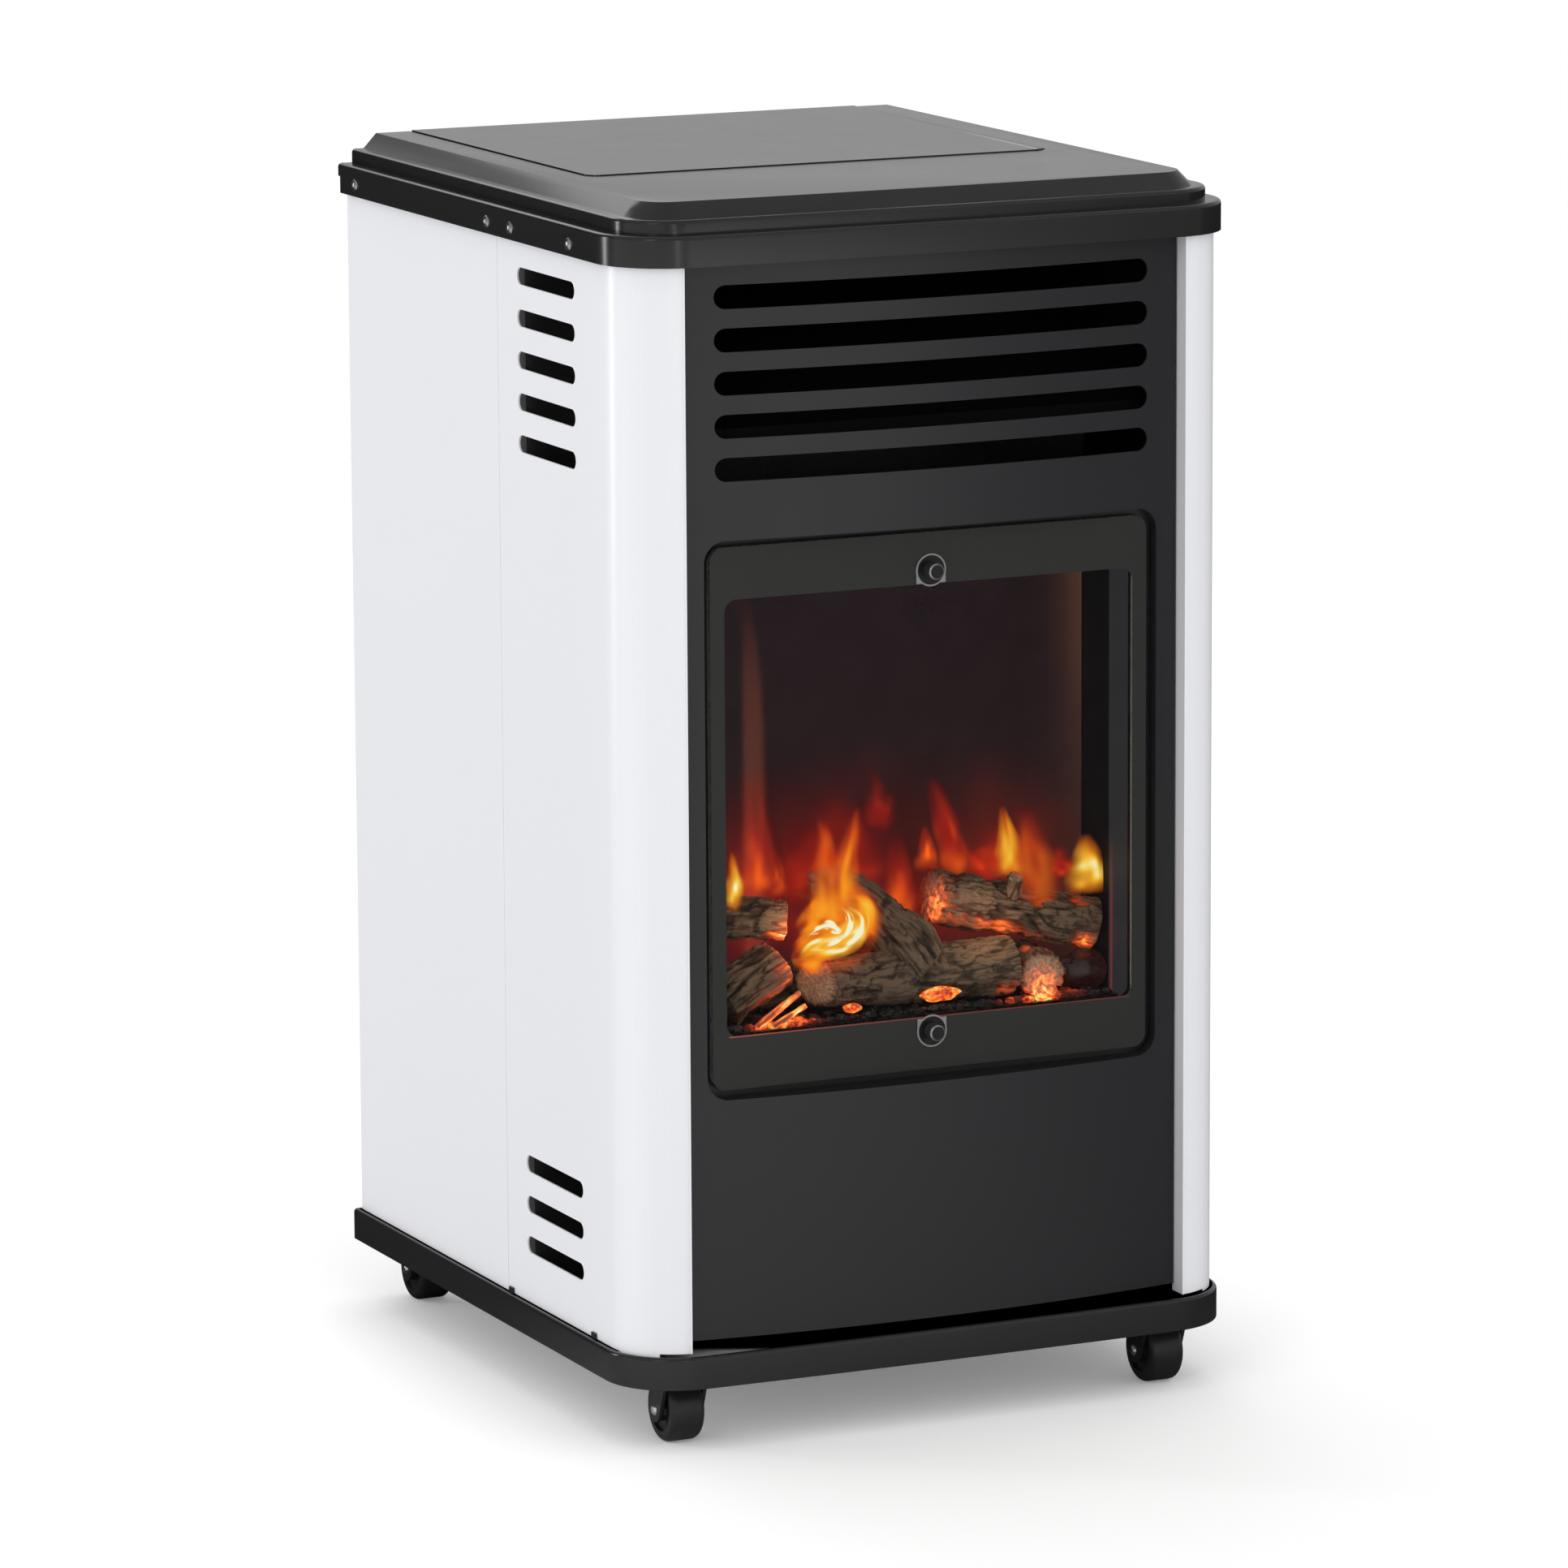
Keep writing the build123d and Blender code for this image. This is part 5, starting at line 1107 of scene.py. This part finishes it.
FLAMES = [
    # name, depth y, then x, z, width, heat and body along its middle line, in millimetres
    ("haze_left", -134, (
        (-92, 270, 60, 0.1, 0), (-90, 300, 70, 0.16, 0.3), (-84, 340, 66, 0.1, 0.2),
        (-80, 400, 40, 0.04, 0))),
    ("haze_middle", -132, (
        (-20, 270, 80, 0.08, 0), (-18, 300, 90, 0.12, 0.28), (-14, 345, 80, 0.08, 0.18),
        (-10, 410, 50, 0.03, 0))),
    ("haze_right", -136, (
        (62, 270, 80, 0.1, 0), (64, 300, 84, 0.16, 0.25), (66, 345, 76, 0.1, 0.16),
        (66, 400, 50, 0.04, 0))),
    ("left_sliver", -170, (
        (-114.0, 316.6, 5.5, 0.6, 0), (-113.7, 326.0, 7.2, 0.85, 0.9), (-113.9, 335.4, 6.6, 0.9, 0.95),
        (-114.7, 344.8, 4.4, 0.75, 0.7), (-115.2, 354.2, 2.2, 0.5, 0))),
    ("left_red_tall", -160, (
        (-95.2, 323.8, 13.8, 0.3, 0), (-94.3, 333.2, 14.4, 0.42, 0.75), (-94.2, 348.6, 13.7, 0.34, 0.66),
        (-95.2, 370.8, 12.1, 0.18, 0.4), (-96.8, 402.3, 10.4, 0.08, 0))),
    ("left_orange", -165, (
        (-81.5, 322.2, 7.2, 0.3, 0), (-82.9, 329.0, 7.2, 0.45, 0.5), (-84.3, 338.5, 6.1, 0.4, 0.4),
        (-84.8, 352.0, 3.9, 0.2, 0))),
    ("left_haze", -150, (
        (-64.4, 312.5, 24.9, 0.1, 0), (-62.9, 325.9, 27.7, 0.2, 0.45), (-59.9, 341.8, 24.9, 0.16, 0.35),
        (-55.4, 363.0, 16.6, 0.08, 0))),
    ("tongue_left", -186, (
        (-60.8, 308.4, 13.6, 0.8, 0), (-60.2, 319.1, 13.2, 0.72, 0.75), (-61.0, 332.6, 11.4, 0.6, 0.65),
        (-62.0, 345.9, 10.2, 0.5, 0.6), (-62.3, 359.2, 7.3, 0.42, 0.5), (-64.9, 374.0, 3.3, 0.3, 0))),
    ("tongue_right", -183, (
        (-49.3, 309.1, 16.6, 0.85, 0), (-48.6, 321.1, 16.1, 0.75, 0.9), (-48.6, 333.2, 12.7, 0.66, 0.85),
        (-45.6, 346.4, 10.5, 0.6, 0.75), (-42.0, 360.8, 7.2, 0.52, 0.55), (-38.5, 377.9, 2.2, 0.4, 0))),
    ("tongue_haze", -150, (
        (-33.6, 315.1, 33.2, 0.2, 0), (-35.0, 334.2, 36.0, 0.26, 0.5), (-33.4, 353.0, 30.5, 0.18, 0.4),
        (-30.4, 377.0, 19.4, 0.1, 0))),
    ("wisp", -155, (
        (-5.9, 352.8, 5.0, 0.15, 0), (-8.2, 361.1, 11.4, 0.22, 0.36), (-11.1, 369.5, 13.1, 0.24, 0.4),
        (-14.0, 380.5, 9.2, 0.16, 0.2), (-16.3, 392.8, 2.8, 0.1, 0))),
    ("middle_red", -150, (
        (6.1, 295.2, 13.8, 0.5, 0), (6.4, 306.1, 13.8, 0.46, 0.8), (5.9, 319.7, 12.2, 0.38, 0.7),
        (4.7, 332.7, 9.4, 0.26, 0.45), (2.0, 354.1, 4.9, 0.14, 0))),
    ("over_end", -148, (
        (24.6, 325.8, 11.1, 0.4, 0), (24.6, 334.0, 9.4, 0.48, 0.8), (24.7, 342.1, 6.6, 0.4, 0.7),
        (23.5, 354.4, 2.2, 0.3, 0))),
    ("red_tongue", -147, (
        (47.7, 320.9, 11.1, 0.5, 0), (45.3, 329.2, 12.2, 0.46, 0.7), (40.6, 343.3, 11.6, 0.3, 0.66),
        (35.8, 359.3, 9.4, 0.22, 0.5), (28.5, 384.0, 4.9, 0.12, 0))),
    ("red_blob", -145, (
        (57.6, 318.3, 8.3, 0.2, 0), (61.2, 323.4, 15.5, 0.26, 0.85), (65.9, 331.2, 13.8, 0.22, 0.8),
        (69.5, 339.0, 4.4, 0.15, 0))),
    ("yellow_tongue", -150, (
        (79.6, 317.2, 12.7, 0.6, 0), (79.9, 324.0, 12.7, 0.82, 0.95), (79.6, 334.9, 11.1, 0.86, 0.95),
        (77.5, 347.4, 6.6, 0.74, 0.85), (74.5, 362.6, 2.2, 0.5, 0))),
    ("orange_haze", -146, (
        (76.5, 318.1, 22.2, 0.3, 0), (75.0, 326.4, 24.9, 0.35, 0.4), (75.0, 337.4, 19.4, 0.25, 0.3),
        (75.0, 351.0, 11.1, 0.15, 0))),
    ("orange_wide", -170, (
        (92.3, 291.0, 13.8, 0.4, 0), (91.1, 302.0, 16.6, 0.42, 0.3), (89.3, 315.8, 19.4, 0.5, 0.42),
        (86.3, 329.7, 17.7, 0.52, 0.52), (83.3, 345.6, 12.7, 0.4, 0.38), (80.6, 366.3, 6.5, 0.22, 0))),
    ("red_small", -140, (
        (120.0, 310.4, 11.1, 0.2, 0), (120.0, 317.3, 13.8, 0.28, 0.75), (118.8, 324.2, 11.1, 0.22, 0.6),
        (117.6, 332.6, 4.4, 0.15, 0))),
    ("yellow_right", -163, (
        (126.4, 305.2, 16.6, 0.6, 0), (126.4, 312.6, 18.3, 0.85, 0.95), (126.4, 320.8, 16.6, 0.9, 0.98),
        (125.8, 330.4, 11.6, 0.82, 0.9), (124.9, 342.8, 3.9, 0.6, 0))),
    ("swirl_body", -190, (
        (-86.1, 286.9, 8.3, 0.45, 0), (-78.8, 290.2, 16.6, 0.6, 0.9), (-64.3, 294.3, 24.9, 0.72, 0.97),
        (-48.3, 297.4, 26.6, 0.75, 0.97), (-38.0, 306.6, 22.2, 0.68, 0.92),
        (-42.3, 319.1, 16.6, 0.6, 0.7), (-52.5, 326.8, 8.3, 0.5, 0))),
    ("swirl_back", -184, (
        (-78.9, 301.2, 11.1, 0.5, 0), (-67.2, 305.5, 22.2, 0.62, 0.9), (-52.7, 309.6, 27.7, 0.66, 0.92),
        (-38.1, 305.5, 19.4, 0.6, 0.85), (-26.4, 296.4, 5.5, 0.5, 0))),
    ("swirl_yellow", -192, (
        (-82.7, 290.2, 3.9, 0.7, 0), (-72.5, 293.5, 9.4, 0.86, 0.9), (-58.0, 295.4, 12.2, 0.94, 0.97),
        (-45.4, 300.2, 12.2, 0.95, 0.97), (-41.9, 310.0, 10.0, 0.92, 0.9), (-49.1, 318.8, 5.0, 0.8, 0))),
    ("swirl_white", -193, (
        (-73.8, 294.4, 1.7, 0.9, 0), (-65.1, 295.2, 4.4, 1, 0.95), (-55.5, 298.0, 5.5, 1, 1),
        (-49.4, 304.2, 5.5, 1, 1), (-48.8, 312.2, 3.9, 1, 0.9), (-54.0, 318.9, 1.4, 0.9, 0))),
    ("swirl_inner", -192.5, (
        (-77.1, 302.6, 2.2, 0.85, 0), (-69.5, 306.8, 5.0, 0.96, 0.9), (-61.9, 307.7, 5.5, 1, 0.95),
        (-56.1, 303.9, 4.4, 1, 0.9), (-53.2, 299.4, 2.2, 0.95, 0))),
    ("swirl_tip", -189, (
        (-29.4, 297.6, 1.7, 0.5, 0), (-34.0, 302.9, 6.1, 0.66, 0.8), (-38.7, 306.5, 8.3, 0.75, 0.8),
        (-44.0, 308.1, 5.5, 0.75, 0))),
]


def smooth_rows(rows, count):
    """Rows of values at even steps along a Catmull-Rom curve through the given rows."""
    rows = np.array(rows, float)
    padded = np.concatenate([[2 * rows[0] - rows[1]], rows, [2 * rows[-1] - rows[-2]]])
    place = np.linspace(0, len(rows) - 1, count)
    i = np.clip(place.astype(int), 0, len(rows) - 2)
    f = (place - i)[:, None]
    a, b, c, d = padded[i], padded[i + 1], padded[i + 2], padded[i + 3]
    square, cube = 2 * a - 5 * b + 4 * c - d, 3 * b - a - 3 * c + d
    return 0.5 * (2 * b + (c - a) * f + square * f ** 2 + cube * f ** 3)


FLAME_STEPS, FLAME_COLUMNS = 90, 41


def flame_mesh(name, y, rows, seed):
    """A thin tongue along a smooth middle line, u from -1 to 1 across it.

    Point = middle + u * width * normal, bowed forward by 0.15 * width * (1 - u^2). With
    rim = 1 - u^2, where noise moves u a little, the heat fades with rim and the body with
    rim^2.3, and streaks of smooth noise run along the tongue. The swirl has finer,
    stronger noise and a harder rim, which tears it into tatters.
    """
    rng = np.random.default_rng(seed)
    torn = name.startswith("flame_swirl")
    across, sway, softness = (0.8, 0.95, 1.6) if torn else (1.05, 0.35, 2.3)
    x, z, width, heat, body = smooth_rows(rows, FLAME_STEPS).T
    run = np.stack([np.gradient(x), np.gradient(z)], 1)
    run /= np.linalg.norm(run, axis=1)[:, None]
    u = np.linspace(-1, 1, FLAME_COLUMNS)[None, :] + np.zeros((FLAME_STEPS, 1))
    half = np.clip(width, 0.4, None)[:, None] * across
    v = np.linspace(0, 1, FLAME_STEPS)[:, None] + np.zeros(FLAME_COLUMNS)
    streak = cell_noise(lattice(rng, 9, 9), v * 5, (u + 1) * 3) - 0.5
    fine = cell_noise(lattice(rng, 30, 24), v * 9, (u + 1) * 3.4) - 0.5
    wave = cell_noise(lattice(rng, 9, 4), v * 6, u + 2) - 0.5
    bent = u + sway * wave
    px = x[:, None] + run[:, 1:2] * u * half
    pz = z[:, None] - run[:, 0:1] * u * half
    py = y - 0.15 * half * (1 - u ** 2)
    rim = np.clip(1 - bent ** 2, 0, 1) * np.clip((1 - np.abs(u)) * 5, 0, 1)
    tatter = 0.22 * streak + 0.36 * fine if torn else 0.2 * streak
    holes = 1.5 * fine + 1.0 * streak if torn else 0.6 * streak
    warmth = heat[:, None] * (0.66 + 0.36 * rim) + tatter
    solid = np.clip(body, 0, 1)[:, None] * rim ** softness * (1 + holes)
    values = {"flame_heat": np.clip(warmth, 0, 1), "flame_body": np.clip(solid, 0, 1)}
    return surface(name, np.stack([px, py, pz], -1) * MM, grid_faces(*u.shape), values=values)


class HEATER_OT_flames(bpy.types.Operator):
    """Make the flames over the logs"""

    bl_idname = "heater.flames"
    bl_label = "Flames"

    def execute(self, context):
        for i, (name, y, rows) in enumerate(FLAMES):
            new_piece(flame_mesh(f"flame_{name}", y, rows, seed=40 + i), "flame")
        return {"FINISHED"}


LINING_PATH = [
    (-136.7, -197.6), (-136.7, -135.2), (-111.9, -110.6),
    (111.9, -110.6), (136.7, -135.2), (136.7, -197.6),
]
LINING_LEVELS = (234.0, 533.0)
LINING_ROWS, LINING_STEP = 150, 1.2
LEFT_WALL, BACK_WALL, RIGHT_BEVEL, RIGHT_WALL = 0, 2, 3, 4
# Painted light on the chamber lining, shone out as emission: a dim even glow on the sooted walls, and a
# dimmer left wall as painted shade.
SOOT_PAINTED_LIGHT, LEFT_WALL_PAINTED_SHADE = (0.0135, 0.0066, 0.0082), (0.006, 0.003, 0.003)
# Right wall: painted shade deep inside, painted light at the front.
DEEP_WALL_PAINTED_SHADE, FRONT_WALL_PAINTED_LIGHT = (0.0022, 0.0022, 0.0025), (0.026, 0.027, 0.029)


def add_tone(tone, amount, colour):
    """Add a colour to an array of tones, scaled by the amount at each point."""
    tone += amount[..., None] * np.array(colour)


def lining_painted_light(run, x, y, z):
    """Linear colours of painted light, shone out by the lining: a dim even glow, warm pools of firelight and
    patches of painted shade, each colour * exp(-(distance / size)^2).
    """
    tone = np.broadcast_to(np.array(SOOT_PAINTED_LIGHT), (*x.shape, 3)).copy()
    back, right_bevel, right_wall = run == BACK_WALL, run == RIGHT_BEVEL, run == RIGHT_WALL
    # Painted firelight: a warm band on the left part of the back wall, stronger lower down.
    rise = np.clip((520 - z) / 190, 0, 1)
    reach = -79.5 + 13 * (1 - np.exp(-np.clip(503 - z, 0, None) / 32))
    edge = 1 / (1 + np.exp(-(x + 80) / 0.8)) / (1 + np.exp((x - reach) / 0.9))
    flame_light_wash = back * edge * np.clip((505 - z) / 70, 0, 1) * (1 + 0.8 * rise)
    add_tone(tone, flame_light_wash, (0.058, 0.015, 0.007))
    # Painted firelight on the right bevel, stronger towards the right wall and higher up.
    share = (x - 111.9) / (136.7 - 111.9)
    climb = np.clip((z - 300) / 150, 0.25, 1) * (1 + 0.35 * np.clip((z - 420) / 90, 0, 1))
    add_tone(tone, right_bevel * np.clip(share, 0, 1) ** 2.4 * climb, (0.058, 0.023, 0.013))
    # On the right wall, painted shade deep inside and painted light at the front, with a thin red line of
    # painted firelight near the front.
    deep = y > -172
    grey = np.where(deep[..., None], np.array(DEEP_WALL_PAINTED_SHADE), np.array(FRONT_WALL_PAINTED_LIGHT))
    tone = np.where(right_wall[..., None], grey, tone)
    line = right_wall * ~deep * bell(y, -176, 1.5) * np.clip((345 - z) / 40, 0, 1)
    add_tone(tone, line, (0.16, 0.008, 0.012))
    # The left wall gets a dimmer even glow: painted shade.
    tone = np.where((run == LEFT_WALL)[..., None], np.array(LEFT_WALL_PAINTED_SHADE), tone)
    # Painted firelight low on the walls, and a painted pool of the swirl's light on the back wall behind it.
    low = bell(z, 300, 62)
    add_tone(tone, low * (0.25 + bell(x, -40, 70)) * ~right_wall, (0.026, 0.0013, 0.001))
    add_tone(tone, low * bell(x, 95, 55) * ~right_wall, (0.03, 0.007, 0.0015))
    add_tone(tone, bell(z, 318, 22) * bell(x, -78, 14) * back, (0.35, 0.022, 0.006))
    return tone


def lining_mesh():
    """The inside of the chamber: straight runs between six corners, times the height.

    Point = corner + share * (next corner - corner) at height z; each run has its own ends.
    """
    points, faces, tones, first = [], [], [], 0
    levels = np.linspace(*LINING_LEVELS, LINING_ROWS)
    for run, (start, end) in enumerate(zip(LINING_PATH[:-1], LINING_PATH[1:])):
        start, end = np.array(start), np.array(end)
        columns = int(np.linalg.norm(end - start) / LINING_STEP) + 2
        share = np.linspace(0, 1, columns)
        plan = start + share[:, None] * (end - start)
        x, y, z = np.broadcast_arrays(plan[:, 0], plan[:, 1], levels[:, None])
        points.append(np.stack([x, y, z], -1).reshape(-1, 3))
        tones.append(lining_painted_light(np.full(x.shape, run), x, y, z).reshape(-1, 3))
        faces.append(grid_faces(len(levels), columns)[:, ::-1] + first)
        first += x.size
    points = np.concatenate(points)
    return surface("chamber_lining", points * MM, np.concatenate(faces), tones=np.concatenate(tones))


class HEATER_OT_chamber(bpy.types.Operator):
    """Dress the fire chamber, the divider, the burner and the pilot group"""

    bl_idname = "heater.chamber"
    bl_label = "Fire chamber"

    def execute(self, context):
        dressed("firebox", "chamber_steel", angle=30)
        # The lining carries painted light: the fire's glow and shade on the chamber walls, shone out as
        # emission.
        new_piece(lining_mesh(), "soot_and_painted_glow")
        dressed("divider", "black_matte")
        dressed("burner", "tinted_steel", bevel=0.0003)
        dressed("gas_injector", "brass", bevel=0.0003)
        dressed("pilot_bracket", "zinc", bevel=0.0002)
        dressed("pilot_burner", "tinted_steel", bevel=0.0002)
        dressed("thermocouple", "tinted_steel")
        dressed("spark_electrode", "white_ceramic")
        dressed("gas_pipe", "drawn_aluminium", merge=False)
        dressed("thermocouple_lead", "copper", merge=False)
        dressed("spark_lead", "black_rubber", merge=False)
        return {"FINISHED"}


# ------------------------------------------------------------------ castors


class HEATER_OT_castors(bpy.types.Operator):
    """Make the four castors: plates, forks, axles and wheels"""

    bl_idname = "heater.castors"
    bl_label = "Castors"

    def execute(self, context):
        dressed("castor_plates", "zinc", bevel=0.0003)
        for corner in CORNERS:
            dressed(f"castor_fork_{corner}", "black_plastic", bevel=0.0005)
            dressed(f"castor_axle_{corner}", "bright_steel", bevel=0.0002)
            dressed(f"castor_wheel_{corner}", "black_plastic", angle=40)
        return {"FINISHED"}


# ------------------------------------------------------------------ controls and the back


class HEATER_OT_controls(bpy.types.Operator):
    """Dress the gas controls under the flap"""

    bl_idname = "heater.controls"
    bl_label = "Gas controls"

    def execute(self, context):
        dressed("control_tray", "black_matte", bevel=0.0004)
        dressed("control_knob", "black_plastic", bevel=0.0005)
        dressed("valve_spindle", "bright_steel")
        dressed("valve_collar", "bright_steel")
        dressed("valve_body", "cast_aluminium", bevel=0.0006)
        dressed("igniter_bezel", "black_plastic", bevel=0.0003)
        dressed("igniter_button", "red_plastic")
        dressed("piezo_igniter", "black_plastic", bevel=0.0004)
        dressed("hose_nozzle", "brass", bevel=0.0003)
        return {"FINISHED"}


class HEATER_OT_rear(bpy.types.Operator):
    """Dress the rear door, its hinges and catches, and the floor under the bottle"""

    bl_idname = "heater.rear"
    bl_label = "Rear door"

    def execute(self, context):
        dressed("rear_door", "black_matte", bevel=0.0003)
        dressed("door_hinge_frames", "black_matte", bevel=0.0003)
        dressed("hinge_pins", "bright_steel", bevel=0.0002)
        dressed("door_magnets", "black_plastic", bevel=0.0004)
        dressed("floor_pan", "zinc", bevel=0.0003)
        dressed("bottle_stop", "zinc", bevel=0.0003)
        return {"FINISHED"}


class HEATER_PT_sidebar(bpy.types.Panel):
    """The heater's settings and steps"""

    bl_idname = "HEATER_PT_sidebar"
    bl_label = "Gas cabinet heater"
    bl_space_type = "VIEW_3D"
    bl_region_type = "UI"
    bl_category = "Heater"

    def draw(self, context):
        for group in (context.scene.heater_colours, context.scene.heater_sizes):
            for key in group.bl_rna.properties.keys():
                if key not in ("rna_type", "name"):
                    self.layout.prop(group, key)
        for step in STEPS:
            self.layout.operator(step.bl_idname)


STEPS = (
    HEATER_OT_stage, HEATER_OT_panels, HEATER_OT_cover, HEATER_OT_front, HEATER_OT_window,
    HEATER_OT_logs, HEATER_OT_embers, HEATER_OT_flames, HEATER_OT_chamber, HEATER_OT_castors,
    HEATER_OT_controls, HEATER_OT_rear,
)
CLASSES = (HeaterColours, HeaterSizes, *STEPS, HEATER_PT_sidebar)


def register():
    for item in CLASSES:
        bpy.utils.register_class(item)
    bpy.types.Scene.heater_colours = bpy.props.PointerProperty(type=HeaterColours)
    bpy.types.Scene.heater_sizes = bpy.props.PointerProperty(type=HeaterSizes)


def unregister():
    del bpy.types.Scene.heater_colours
    del bpy.types.Scene.heater_sizes
    for item in reversed(CLASSES):
        bpy.utils.unregister_class(item)


def main():
    register()
    for step in STEPS:
        group, name = step.bl_idname.split(".")
        getattr(getattr(bpy.ops, group), name)()


if __name__ == "__main__":
    main()
